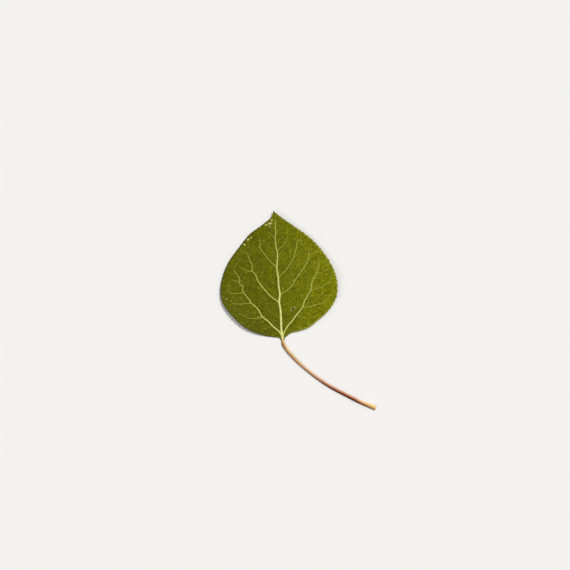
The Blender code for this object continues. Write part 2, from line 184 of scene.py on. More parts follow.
@dataclass(frozen=True)
class BladePlan:
    """The blade's plan: two smooth sides from the neck to the tip, edged with small teeth.

    The waves that crowd the teeth and change their sizes are in radians a tooth, and the pair of
    sizes is the mean and the swing.
    """

    right_side: Route = (
        (0.7, 0.6), (3.1, 2.3), (6.0, 3.0), (9.6, 4.4), (12.2, 6.4), (17.35, 11.4), (19.65, 15.9),
        (19.9, 20.3), (19.05, 24.2), (15.3, 31.1), (10.3, 36.75), (4.0, 41.35), (-1.9, 45.5),
        (-3.5, 46.9),
    )
    left_side: Route = (
        (-1.2, 0.6), (-6.3, 1.3), (-12.5, 3.5), (-18.4, 8.5), (-22.1, 13.9), (-22.7, 17.5),
        (-22.1, 22.0), (-19.9, 27.8), (-15.8, 33.7), (-12.2, 38.2), (-7.0, 42.1), (-3.9, 45.1),
        (-3.5, 46.9),
    )
    middle: Pair = (-1.5, 20.5)
    neck_middle: Pair = (0.05, -0.5)
    neck_half_width: float = 0.5
    tooth_pitch: float = 1.7
    tooth_height: float = 0.2
    teeth_to_grow: Pair = (5, 3)
    smooth_at_base: float = 9.0
    smooth_at_tip: float = 3.0
    tooth_drift: float = 0.3
    drift_wave: float = 0.9
    tooth_sizes: Pair = (0.8, 0.3)
    size_wave: float = 2.3
    tooth_skew: float = 1.5
    tooth_sharpness: int = 4
    station_step: float = 0.1

    def teeth(self, length: float, stops: np.ndarray) -> tuple[np.ndarray, np.ndarray]:
        """The margin's teeth: each is half a sine arch, skewed so that it leans to the tip.

        Slow sine waves crowd and spread the teeth a little and make some lower than others.

        Args:
            length: The length of this side of the margin.
            stops: Distances along it from the base.

        Returns:
            How far the margin stands out from its smooth line, and how near to a tooth's point
            each stop is, from 0 to 1.
        """
        toothed = length - self.smooth_at_base - self.smooth_at_tip
        count = round(toothed / self.tooth_pitch)
        place = (stops - self.smooth_at_base) / toothed * count
        drift = self.tooth_drift * np.sin(self.drift_wave * place)
        place = place + drift * np.sin(math.pi * place / count)
        number = np.floor(place)
        grown = np.minimum((number + 1) / self.teeth_to_grow[0], (count - number) / self.teeth_to_grow[1])
        grown = np.clip(grown, 0.0, 1.0) * ((number >= 0) & (number < count))
        mean, swing = self.tooth_sizes
        grown = grown * (mean + swing * np.sin(self.size_wave * number))
        rise = np.sin(math.pi * np.clip(place - number, 0.0, 1.0) ** self.tooth_skew)
        return self.tooth_height * grown * (rise - 0.5), grown * rise**self.tooth_sharpness

    def rim(self, count: int) -> Rim:
        """The margin at evenly spaced stations, from the middle of the neck and back to it.

        Args:
            count: The number of stations.

        Returns:
            The margin.
        """
        columns = []
        for route, turn in ((self.right_side, 1), (self.left_side, -1)):
            curve = Curve.through(route)
            stops = np.arange(0.0, curve.length, self.station_step)
            tooth, tip = self.teeth(curve.length, stops)
            side = np.column_stack([curve.at(stops), turn * curve.right_of(stops), tooth, tip])
            columns.append(side[::turn])
        (x, y), half = self.neck_middle, self.neck_half_width
        corners = ((0.0, 0.0, -1.0), (half, 0.7, -0.7), (-half, -0.7, -0.7), (0.0, 0.0, -1.0))
        neck = [[x + across, y, *normal, 0.0, 0.0] for across, *normal in corners]
        tip_point = [[*self.right_side[-1], 0.0, 1.0, 0.0, 0.0]]
        path = np.vstack([neck[:2], columns[0], tip_point, columns[1], neck[2:]])
        run = Curve.of(path[:, :2]).run
        stations = np.linspace(0.0, run[-1], count, endpoint=False)
        even = np.stack([np.interp(stations, run, column) for column in path.T], axis=1)
        outward = even[:, 2:4] / np.linalg.norm(even[:, 2:4], axis=1, keepdims=True)
        return Rim(even[:, :2], outward, even[:, 4], even[:, 5])

    def share_out(self, spots: np.ndarray) -> np.ndarray:
        """How far out spots lie: nought at the blade's middle and one on its smooth margin.

        Args:
            spots: Plan points.

        Returns:
            Their distances from the middle, over that of the margin in the same direction.
        """
        sides = [Curve.through(route).points for route in (self.right_side, self.left_side)]
        away = np.concatenate(sides) - self.middle
        angle = np.arctan2(away[:, 1], away[:, 0])
        order = angle.argsort()
        spot_away = spots - self.middle
        spot_angle = np.arctan2(spot_away[..., 1], spot_away[..., 0])
        reach = np.linalg.norm(away, axis=1)[order]
        margin = np.interp(spot_angle, angle[order], reach, period=2 * math.pi)
        return np.linalg.norm(spot_away, axis=-1) / margin


@dataclass(frozen=True)
class VeinSize:
    """The make of one order of vein. A pair runs from its root to its end.

    Args:
        half_width: Half its width in plan.
        rise: How far its crown stands above the blade's upper face.
        under_rise: How far it stands out below, before the surface presses it flat.
        lowest: How high above the surface its flat back lies, no two orders in one plane.
        swell: How far the blade's own face rises towards it.
        flare: The share by which it widens at its root.
        sides: The number of points round its section.
    """

    half_width: Pair
    rise: Pair
    under_rise: Pair
    lowest: float
    swell: float
    flare: float
    sides: int


class VeinOrder(Enum):
    """The orders of vein, from the midrib to the finest that stands out as a ridge."""

    MIDRIB = VeinSize((0.49, 0.2), (0.24, 0.1), (0.6, 0.2), 0.0, 0.12, 0.0, 16)
    SIDE = VeinSize((0.34, 0.22), (0.15, 0.06), (0.4, 0.15), 0.03, 0.09, 0.45, 12)
    CROSS = VeinSize((0.22, 0.14), (0.06, 0.03), (0.12, 0.05), 0.06, 0.04, 0.35, 8)
    FINE = VeinSize((0.11, 0.07), (0.03, 0.015), (0.05, 0.03), 0.09, 0.015, 0.35, 6)


@dataclass(frozen=True)
class Vein:
    """One vein: its order, its line, its girth against its order's, and its pallor along it."""

    order: VeinOrder
    line: Curve
    girth: float
    pallor: tuple[float, ...]

    def paleness(self, share: np.ndarray) -> np.ndarray:
        """How pale it is, from 0, as green as the blade, to 1, straight between its values."""
        return np.interp(share * (len(self.pallor) - 1), np.arange(len(self.pallor)), self.pallor)


@dataclass(frozen=True)
class Course:
    """Where one vein runs, as listed, with its girth and its pallor at even steps along it."""

    girth: float
    pallor: tuple[float, ...]
    route: Route

    def vein(self, order: VeinOrder, route: Route) -> Vein:
        """The vein of this course, on the given route."""
        return Vein(order, Curve.through(route), self.girth, self.pallor)


@dataclass(frozen=True)
class VeinPlan:
    """The listed veins: right from the base up, then left from the base up."""

    midrib: Course = Course(1.0, (1.0, 0.97, 0.92, 0.83, 0.63, 0.6), (
        (0.05, -0.9), (-0.1, 0.6), (-0.55, 4.1), (-0.65, 7.1), (-0.9, 11.0), (-1.3, 13.6), (-1.1, 16.5),
        (-1.55, 19.8), (-1.7, 22.5), (-2.2, 26.2), (-1.95, 29.3), (-2.05, 31.8), (-2.5, 33.7),
        (-2.75, 36.7), (-2.6, 38.95), (-2.8, 41.9), (-2.9, 44.9), (-3.35, 46.2),
    ))
    side: tuple[Course, ...] = (
        Course(1.0, (0.79, 0.82, 0.72, 0.6, 0.38), (
            (-0.1, 0.6), (0.35, 2.15), (1.55, 4.55), (3.4, 6.75), (5.0, 9.0), (7.3, 12.0), (7.75, 13.6),
            (9.1, 16.2), (10.2, 18.1), (10.4, 20.1), (11.4, 22.7), (12.3, 24.4), (13.1, 26.75),
            (13.1, 29.2), (13.0, 30.8),
        )),
        Course(0.85, (0.44, 0.5, 0.58, 0.55, 0.52), (
            (-1.1, 15.2), (-0.7, 16.2), (1.4, 17.8), (3.4, 19.6), (4.7, 21.9), (6.6, 24.6), (8.1, 26.9),
            (9.1, 28.7), (9.5, 30.3), (9.5, 31.9), (9.7, 33.2),
        )),
        Course(0.85, (0.4, 0.43, 0.5, 0.55, 0.55), (
            (-1.65, 21.6), (-1.4, 22.4), (0.15, 24.3), (1.6, 25.9), (2.9, 28.0), (3.7, 29.2), (4.4, 31.6),
            (4.9, 33.2), (5.1, 35.2), (5.9, 36.3), (6.8, 36.8),
        )),
        Course(0.7, (0.38, 0.4, 0.34), (
            (-2.1, 31.6), (-1.8, 32.3), (-0.2, 33.9), (0.8, 34.7), (1.4, 35.9), (1.75, 38.0),
        )),
        Course(1.0, (0.88, 0.83, 0.65, 0.45, 0.25), (
            (-0.1, 0.4), (-0.8, 2.1), (-3.85, 5.0), (-5.8, 7.0), (-7.3, 8.1), (-8.7, 10.4),
            (-10.2, 12.2), (-11.6, 13.3), (-12.15, 14.3), (-13.7, 16.25), (-14.65, 18.05),
            (-14.6, 19.0), (-15.8, 20.4), (-15.8, 21.7), (-16.7, 23.8), (-17.7, 25.1), (-18.4, 27.2),
        )),
        Course(0.9, (0.66, 0.71, 0.68, 0.42, 0.36), (
            (-1.05, 12.6), (-1.6, 13.5), (-3.4, 14.9), (-5.2, 16.5), (-7.2, 18.8), (-9.1, 21.4),
            (-9.9, 23.5), (-11.1, 25.0), (-11.3, 27.3), (-12.3, 29.3), (-12.7, 30.8), (-12.7, 33.0),
        )),
        Course(0.75, (0.46, 0.46, 0.48, 0.46, 0.32), (
            (-2.1, 25.6), (-2.5, 26.5), (-4.3, 28.0), (-6.0, 30.2), (-7.5, 32.1), (-8.4, 33.6),
            (-8.3, 35.5), (-8.6, 37.5),
        )),
        Course(0.6, (0.34, 0.3), ((-2.7, 36.0), (-3.0, 36.8), (-4.3, 38.1), (-5.9, 39.4))),
    )
    cross: tuple[Course, ...] = (
        Course(1.0, (0.45, 0.45, 0.47, 0.52, 0.48, 0.4, 0.3), (
            (7.4, 11.6), (10.05, 12.0), (12.3, 12.8), (14.1, 13.1), (15.6, 14.4), (17.0, 15.7),
            (18.3, 17.2), (18.8, 18.8),
        )),
        Course(1.0, (0.43, 0.44, 0.49, 0.52, 0.55), (
            (10.3, 18.0), (12.2, 18.5), (14.4, 19.1), (15.7, 20.2), (17.2, 20.9), (18.5, 20.6),
        )),
        Course(0.8, (0.4, 0.3), ((5.4, 8.6), (6.4, 8.2), (7.75, 7.9), (10.2, 8.0), (12.3, 8.7))),
        Course(0.8, (0.36, 0.3), ((12.3, 24.1), (13.9, 24.3), (16.0, 25.2))),
        Course(0.7, (0.3, 0.25), ((-2.4, 38.7), (-1.5, 39.6), (0.0, 40.9))),
        Course(1.0, (0.38, 0.37, 0.36, 0.42), ((-12.0, 12.95), (-15.3, 12.9), (-18.7, 13.1))),
        Course(0.9, (0.38, 0.32), (
            (-14.2, 17.3), (-15.3, 16.8), (-17.25, 16.8), (-19.0, 17.0), (-20.2, 17.8),
        )),
        Course(0.9, (0.38, 0.3), (
            (-7.2, 8.1), (-8.6, 7.8), (-10.4, 7.6), (-12.7, 7.9), (-14.6, 8.9), (-16.6, 9.5),
        )),
        Course(0.7, (0.28, 0.22), ((-3.6, 4.9), (-5.6, 4.2), (-8.0, 4.0))),
        Course(0.9, (0.36, 0.28), ((-15.8, 20.9), (-16.4, 21.1), (-19.2, 21.9))),
        Course(0.9, (0.4, 0.34), ((-11.1, 24.8), (-13.4, 25.0), (-15.3, 26.1), (-16.3, 26.6))),
        Course(0.9, (0.4, 0.34), ((-14.6, 19.0), (-14.2, 19.5), (-13.8, 19.8))),
        Course(0.7, (0.44, 0.4, 0.34), ((17.2, 20.9), (17.5, 22.3), (17.8, 23.6), (17.4, 25.0))),
        Course(0.7, (0.42, 0.46, 0.3), ((15.8, 25.1), (16.5, 26.3), (16.1, 27.6), (15.0, 28.8))),
        Course(0.7, (0.42, 0.4, 0.34), ((9.5, 31.0), (10.6, 31.2), (12.0, 31.7), (13.4, 32.8))),
        Course(0.6, (0.36, 0.44, 0.3), ((6.0, 36.3), (6.8, 35.1), (7.8, 33.6), (8.2, 32.4))),
    )

    def veins(self) -> tuple[Vein, ...]:
        """Make the veins. A cross vein roots on the nearest of the lines before it.

        Returns:
            Every listed vein, the midrib first.
        """
        found = [self.midrib.vein(VeinOrder.MIDRIB, self.midrib.route)]
        found += [course.vein(VeinOrder.SIDE, course.route) for course in self.side]
        for course in self.cross:
            lines = np.concatenate([vein.line.points for vein in found])
            root = lines[np.linalg.norm(lines - course.route[0], axis=1).argmin()]
            found.append(course.vein(VeinOrder.CROSS, (tuple(root), *course.route[1:])))
        return tuple(found)


@dataclass(frozen=True)
class FineVeins:
    """Fine veins that branch from the midrib and side veins by a seeded rule."""

    plan: BladePlan
    spacing: float = 3.6
    bare_ends: Pair = (1.5, 1.0)
    drift: float = 0.4
    lengths: Pair = (4.0, 9.0)
    lean: float = math.radians(62.0)
    scatter: float = math.radians(9.0)
    bend: float = math.radians(34.0)
    wobble: float = 0.16
    steps: int = 12
    fewest_points: int = 5
    inside_share: float = 0.955
    meets_within: float = 1.0
    contact: float = 0.12
    pallor: Pair = (0.28, 0.12)
    scar_reach: float = 1.5
    seed: int = 23

    def veins(self, parents: tuple[Vein, ...], scars: tuple["Scar", ...]) -> tuple[Vein, ...]:
        """Branches at near-even stops on both sides of each parent.

        A branch leaves at the lean angle from its parent's course and is a chain of equal short
        steps whose heading turns back towards that course with each step. It ends before the
        margin and before a scar, or on another vein where it meets one.

        Args:
            parents: The veins that it branches from.
            scars: The old bites.

        Returns:
            The branches.
        """
        rng = np.random.default_rng(self.seed)
        found = []
        for parent in (vein for vein in parents if vein.order is not VeinOrder.CROSS):
            line = parent.line
            stops = np.arange(self.bare_ends[0], line.length - self.bare_ends[1], self.spacing / 2)
            for number, stop in enumerate(stops + rng.uniform(-self.drift, self.drift, len(stops))):
                right = line.right_of(np.array(stop))
                turning = np.linspace(0.0, self.bend, self.steps) + rng.normal(0.0, self.wobble, self.steps)
                lean = self.lean + rng.normal(0.0, self.scatter) - turning
                heading = math.atan2(right[0], -right[1]) - (1 if number % 2 else -1) * lean
                step = rng.uniform(*self.lengths) / self.steps
                chain = step * np.cumsum(np.stack([np.cos(heading), np.sin(heading)], axis=1), axis=0)
                route = line.at(np.array(stop)) + np.vstack([[0.0, 0.0], chain])
                free = self.plan.share_out(route) < self.inside_share
                for scar in scars:
                    free &= np.linalg.norm(route - scar.middle, axis=1) > self.scar_reach
                for other in parents:
                    if other is not parent:
                        gap = other.line.gap_and_share(route, self.meets_within)[0]
                        free &= gap > self.contact + step / 2
                count = len(route) if free.all() else int(free.argmin()) + 1
                if count >= self.fewest_points:
                    branch = Curve.through(tuple(map(tuple, route[:count])))
                    found.append(Vein(VeinOrder.FINE, branch, 1.0, self.pallor))
        return tuple(found)


@dataclass(frozen=True)
class BladeTint:
    """How far the blade's green goes to its lighter, yellower tone, from 0 to 1.

    A pair of places says where an S-curve starts and ends, and a pair of amounts is the yellowing
    that it adds on the left and on the right.
    """

    plan: BladePlan
    least: float = 0.14
    # The blade gets lighter and yellower from left to right
    to_right: float = 0.5
    right_from_to: Pair = (-16.0, 20.0)
    right_delay: float = 1.4
    up_blade: float = 0.08
    up_from_to: Pair = (2.0, 22.0)
    at_tip: float = 0.2
    tip_middle: Pair = (-3.0, 43.5)
    tip_reach: float = 4.5
    at_margin: Pair = (0.03, 0.12)
    margin_share: float = 0.8

    def yellowing(self, spots: np.ndarray) -> np.ndarray:
        """Yellowing at plan spots.

        A delayed S-curve from left to right, plus an S-curve up the blade's lower half, a bell
        round the tip, and an S-curve in the outermost fifth, yellower on the right.

        Args:
            spots: Plan points.

        Returns:
            The yellowing.
        """
        x, y = spots[..., 0], spots[..., 1]
        rightward = smooth_step(x, *self.right_from_to) ** self.right_delay
        tip = bell(np.hypot(x - self.tip_middle[0], y - self.tip_middle[1]), self.tip_reach)
        outermost = smooth_step(self.plan.share_out(spots), self.margin_share, 1.0)
        return (
            self.least + self.to_right * rightward
            + self.up_blade * smooth_step(y, *self.up_from_to) + self.at_tip * tip
            + blend(self.at_margin, rightward) * outermost
        )


@dataclass(frozen=True)
class BladeRelief:
    """The blade's heights: a flat middle, a lifted and waved margin, and swellings at the veins.

    A wave round the blade is its number of crests, its height and its turn.
    """

    plan: BladePlan
    veins: tuple[Vein, ...]
    underside: float = 0.3
    thickness: Pair = (0.3, 0.2)
    thins_from: float = 0.5
    flat_share: float = 0.45
    lift_mean: float = 0.75
    lift_waves: tuple[tuple[int, float, float], ...] = (
        (2, 0.30, 0.9), (3, 0.32, 2.4), (5, 0.18, 0.4), (7, 0.10, 1.7),
    )
    base_calm: float = 9.0
    swell_reach: float = 0.9
    swell_below: float = 1.4
    crumple_size: float = 0.012
    crumple_waves: int = 28
    crumple_lengths: Pair = (1.6, 4.5)
    seed: int = 11

    def lift(self, spots: np.ndarray) -> np.ndarray:
        """Lift of the dried blade over the surface.

        The share of the way from a flat middle to the margin, squared, times a mean lift with a
        few sine waves round the blade, and calmed near the stalk.

        Args:
            spots: Plan points.

        Returns:
            The lift.
        """
        away = spots - self.plan.middle
        angle = np.arctan2(away[..., 1], away[..., 0])
        out = (self.plan.share_out(spots) - self.flat_share) / (1.0 - self.flat_share)
        waves = self.lift_mean + sum(size * np.sin(n * angle + turn) for n, size, turn in self.lift_waves)
        calm = 1.0 - bell(np.linalg.norm(spots, axis=-1), self.base_calm)
        return np.clip(out, 0.0, 1.1) ** 2 * waves * calm

    def crumple(self, spots: np.ndarray) -> np.ndarray:
        """Fine unevenness of the dried face: a sum of seeded sine waves that run every way.

        Args:
            spots: Plan points.

        Returns:
            The unevenness, up or down.
        """
        rng = np.random.default_rng(self.seed)
        total = np.zeros(spots.shape[:-1])
        for _ in range(self.crumple_waves):
            heading, turn = rng.uniform(0.0, 2 * math.pi, 2)
            count = 2 * math.pi / rng.uniform(*self.crumple_lengths)
            phase = spots[..., 0] * math.cos(heading) + spots[..., 1] * math.sin(heading)
            total += np.sin(count * phase + turn)
        return total * self.crumple_size / math.sqrt(self.crumple_waves / 2)

    def swell(self, spots: np.ndarray) -> np.ndarray:
        """Swelling of the face towards the veins: a bell over each line, half as high at its end.

        Args:
            spots: Plan points.

        Returns:
            The swelling.
        """
        flat = spots.reshape(-1, 2)
        total = np.zeros(len(flat))
        for vein in self.veins:
            gap, share = vein.line.gap_and_share(flat, 3.0 * self.swell_reach)
            rise = vein.order.value.swell * (1.0 - 0.5 * share) * bell(gap, self.swell_reach)
            total = np.maximum(total, rise)
        return total.reshape(spots.shape[:-1])

    def faces(self, spots: np.ndarray) -> tuple[np.ndarray, np.ndarray]:
        """Heights of the blade's faces: the underside with its lift, and the thickness over it.

        Args:
            spots: Plan points.

        Returns:
            The heights of the upper and of the under face.
        """
        base = self.underside + self.lift(spots) + self.crumple(spots)
        thin = smooth_step(self.plan.share_out(spots), self.thins_from, 1.0)
        thickness = blend(self.thickness, thin)
        swell = self.swell(spots)
        return base + thickness + swell, np.maximum(base - self.swell_below * swell, 0.0)


@dataclass
class Shape:
    """A mesh before it is a piece: its points, its faces, and values kept at its points."""

    points: np.ndarray
    faces: list[np.ndarray]
    values: dict[str, np.ndarray]

    @staticmethod
    def joined(shapes: list["Shape"]) -> "Shape":
        """Several shapes as one, each a closed body of its own.

        Args:
            shapes: The shapes, which keep values of the same names.

        Returns:
            The one shape.
        """
        faces, start = [], 0
        for shape in shapes:
            faces += [block + start for block in shape.faces]
            start += len(shape.points)
        names = shapes[0].values
        values = {name: np.concatenate([shape.values[name] for shape in shapes]) for name in names}
        return Shape(np.concatenate([shape.points for shape in shapes]), faces, values)

    @staticmethod
    def tube(rings: np.ndarray, values: dict[str, np.ndarray]) -> "Shape":
        """A closed tube: rings of points carried along a path, with a fan at each end.

        Args:
            rings: Points by ring, place in the ring, and axis.
            values: Values that spread over ring and place in the ring.

        Returns:
            The shape, whose end fans meet in the middle of the end rings.
        """
        count, sides = rings.shape[:2]
        index = np.arange(count * sides).reshape(count, sides)
        turned = np.roll(index, -1, axis=1)
        walls = np.stack([index[:-1], turned[:-1], turned[1:], index[1:]], axis=-1).reshape(-1, 4)
        first, last = (np.full(sides, count * sides + end) for end in (0, 1))
        fans = [
            np.stack([turned[0], index[0], first], axis=-1),
            np.stack([index[-1], turned[-1], last], axis=-1),
        ]
        points = np.concatenate([rings.reshape(-1, 3), [rings[0].mean(axis=0), rings[-1].mean(axis=0)]])
        kept = {}
        for name, value in values.items():
            grid = np.broadcast_to(value, (count, sides))
            kept[name] = np.concatenate([grid.ravel(), [grid[0].mean(), grid[-1].mean()]])
        return Shape(points, [walls, *fans], kept)

    def volume(self) -> float:
        """Sum the pyramids from the origin to every face.

        Returns:
            The volume inside, less than nought if the faces point in.
        """
        total = 0.0
        for block in self.faces:
            corners = self.points[block]
            for k in range(1, block.shape[1] - 1):
                cross = np.cross(corners[:, k], corners[:, k + 1])
                total += float((corners[:, 0] * cross).sum()) / 6.0
        return total


def add_object(name: str, data: bpy.types.ID) -> bpy.types.Object:
    """Put an object into the scene.

    Args:
        name: Its name.
        data: Its mesh, light or camera.

    Returns:
        The object.
    """
    thing = bpy.data.objects.new(name, data)
    bpy.context.scene.collection.objects.link(thing)
    return thing


@dataclass(frozen=True)
class Placer:
    """Puts shapes measured from the blade's base into the frame."""

    base: Pair

    @staticmethod
    def from_frame(plan: BladePlan) -> "Placer":
        """Find the blade's base, from the box of the blade's solid and the plan's own box.

        Args:
            plan: The blade's plan.

        Returns:
            The placer.
        """
        low, high = (np.array(corner[:2]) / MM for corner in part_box("leaf_blade"))
        rim = plan.rim(CLOSE_STATIONS)
        edge = rim.points + rim.outward * rim.tooth[:, None]
        base = (low + high) / 2 - (edge.min(axis=0) + edge.max(axis=0)) / 2
        return Placer((float(base[0]), float(base[1])))

    def piece(
        self, name: str, shape: Shape, part: Part, *skins: bpy.types.Material,
        finish: np.ndarray | None = None,
    ) -> None:
        """Make a shape a piece of the object, with its faces pointing out.

        Args:
            name: The piece's name.
            shape: Its shape, in millimetres from the blade's base.
            part: The solid that it stands for.
            skins: Its materials.
            finish: For each face, the number of its material.
        """
        flip = shape.volume() < 0
        points = (shape.points + [*self.base, 0.0]) * MM
        faces = [face for block in shape.faces for face in (block[:, ::-1] if flip else block).tolist()]
        mesh = bpy.data.meshes.new(name)
        mesh.from_pydata(points.tolist(), [], faces)
        for skin in skins:
            mesh.materials.append(skin)
        if finish is not None:
            mesh.polygons.foreach_set("material_index", finish.astype(np.int32))
        for key, value in shape.values.items():
            mesh.attributes.new(key, "FLOAT", "POINT").data.foreach_set("value", value.astype(np.float32))
        mesh.shade_smooth()
        mesh.validate()
        thing = add_object(name, mesh)
        node, slot = part.value
        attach(thing, "root")
        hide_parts(node)
        triangles = sum(len(block) * (block.shape[1] - 2) for block in shape.faces)
        LOG.info("%s: %d points, %d triangles", name, len(points), triangles)


def linear(code: str) -> tuple[float, float, float, float]:
    """Turn a colour into the linear values that shaders take.

    Args:
        code: Its sRGB hex value.

    Returns:
        Its red, green, blue and opacity.
    """
    levels = [int(code[i : i + 2], 16) / 255.0 for i in (1, 3, 5)]
    red, green, blue = (v / 12.92 if v <= 0.04045 else ((v + 0.055) / 1.055) ** 2.4 for v in levels)
    return red, green, blue, 1.0


@dataclass(frozen=True)
class Gloss:
    """How a finish takes the light, with the strength of its relief and its height."""

    roughness: float
    specular: float
    strength: float = 0.0
    relief: float = 0.0


class Graph:
    """The node graph of one material."""

    def __init__(self, name: str) -> None:
        """Start a material.

        Args:
            name: Its name.
        """
        self.material = bpy.data.materials.new(name)
        self.material.use_nodes = True
        self.tree = self.material.node_tree

    @cached_property
    def place(self) -> Socket:
        """The Object coordinates."""
        return self.add("TexCoord", out="Object")

    def add(
        self, kind: str, inputs: dict | tuple = (), out: int | str = 0, size: float = 0.0,
        stops: Stops = (), **settings: object,
    ) -> Socket:
        """Add a node with its settings and links.

        Args:
            kind: Its type, without the ShaderNode prefix.
            inputs: What feeds it.
            out: The output that is wanted.
            size: For a texture on the Object coordinates, the size of its cells or waves in
                millimetres.
            stops: For a colour ramp, its positions and sRGB colours in order.
            settings: Its properties.

        Returns:
            The output.
        """
        node = self.tree.nodes.new("ShaderNode" + kind)
        for name, value in settings.items():
            setattr(node, name, value)
        if size:
            self.feed(node, {"Vector": self.place, "Scale": 1.0 / (size * MM)})
        if stops:
            elements = node.color_ramp.elements
            while len(elements) < len(stops):
                elements.new(1.0)
            for element, (position, code) in zip(elements, stops):
                element.position, element.color = position, linear(code)
        self.feed(node, inputs)
        return node.outputs[out]

    def feed(self, node: bpy.types.Node, inputs: dict | tuple) -> None:
        """Feed a node.

        Args:
            node: The node.
            inputs: By name, by number or in order: a value, an sRGB hex colour, the name of a value
                kept at the mesh's points, or another node's output.
        """
        for key, value in inputs.items() if isinstance(inputs, dict) else enumerate(inputs):
            if isinstance(value, str) and not value.startswith("#"):
                value = self.add("Attribute", out="Fac", attribute_name=value)
            if isinstance(value, Socket):
                self.tree.links.new(value, node.inputs[key])
            else:
                node.inputs[key].default_value = linear(value) if isinstance(value, str) else value

    def close(
        self, colour: Socket | str, gloss: Gloss, height: Socket | None = None, layers: tuple = (),
    ) -> bpy.types.Material:
        """Feed the shader.

        Args:
            colour: The lowest colour.
            gloss: How it takes the light.
            height: The relief's height, from 0 to about 1.
            layers: The share and the colour of each layer over the lowest, in order.

        Returns:
            The material.
        """
        for share, tone in layers:
            colour = self.add("Mix", {0: share, 6: colour, 7: tone}, 2, data_type="RGBA")
        inputs = {"Base Color": colour, "Roughness": gloss.roughness, "Specular IOR Level": gloss.specular}
        if height is not None:
            relief = {"Height": height, "Strength": gloss.strength, "Distance": gloss.relief * MM}
            inputs["Normal"] = self.add("Bump", relief)
        self.feed(self.tree.nodes["Principled BSDF"], inputs)
        return self.material


def vein_net(graph: Graph) -> Socket:
    """The net of finest veins: lines between cells of 1.1 mm, bent by noise, with smaller inside.

    Args:
        graph: The graph of the material.

    Returns:
        The net's height, from 0 in a cell to 1 on a line.
    """
    bend = graph.add("TexNoise", out="Color", size=2.5)
    reach = (0.6 * MM,) * 3
    bent = graph.add("VectorMath", (bend, reach, graph.place), operation="MULTIPLY_ADD")
    lines = []
    for size, width, share in ((1.1, 0.1, 1.0), (0.45, 0.14, 0.45)):
        cells = {"Vector": bent, "Randomness": 0.9}
        edge = graph.add("TexVoronoi", cells, size=size, feature="DISTANCE_TO_EDGE")
        lines.append(graph.add("MapRange", (edge, 0.0, width, share, 0.0)))
    return graph.add("Math", tuple(lines), operation="MAXIMUM")


@dataclass(frozen=True)
class BladeGreen:
    """Green of a dried aspen blade's cells, as it shows through the upper skin.

    It gives the eye a saturated olive that is lighter and yellower where the yellowing value is high,
    most towards the right, cloudy over a few millimetres and finely mottled, with a faint paler net.
    """

    deep: str = "#525401"
    yellow: str = "#747602"

    def colour(self, graph: Graph) -> tuple[Socket, Socket]:
        """Build the green.

        Args:
            graph: The graph of the material.

        Returns:
            The colour, and the height of its net from 0 to about 1.
        """
        # Cloudy patches of 7 mm shift the green towards yellow or back
        clouds = graph.add("TexNoise", size=7.0)
        shift = graph.add("Math", (clouds, 0.36, -0.18), operation="MULTIPLY_ADD")
        amount = graph.add("Math", (shift, "yellowing"), operation="ADD", use_clamp=True)
        colour = graph.add("Mix", {0: amount, 6: self.deep, 7: self.yellow}, 2, data_type="RGBA")
        # The net, which shows more where the blade is yellow, and mottling of 1.6 and of 0.6 mm
        # make it lighter or darker, lighter by more
        net = vein_net(graph)
        strength = graph.add("Math", ("yellowing", 0.5, 0.18), operation="MULTIPLY_ADD")
        light = graph.add("Math", (net, strength, 0.88), operation="MULTIPLY_ADD")
        for size, darkest, lightest in ((1.6, 0.84, 1.16), (0.6, 0.82, 1.28)):
            noise = graph.add("TexNoise", {"Detail": 1.0}, size=size)
            mottle = graph.add("MapRange", (noise, 0.3, 0.7, darkest, lightest))
            light = graph.add("Math", (light, mottle), operation="MULTIPLY")
        return graph.add("VectorMath", {0: colour, 3: light}, operation="SCALE"), net


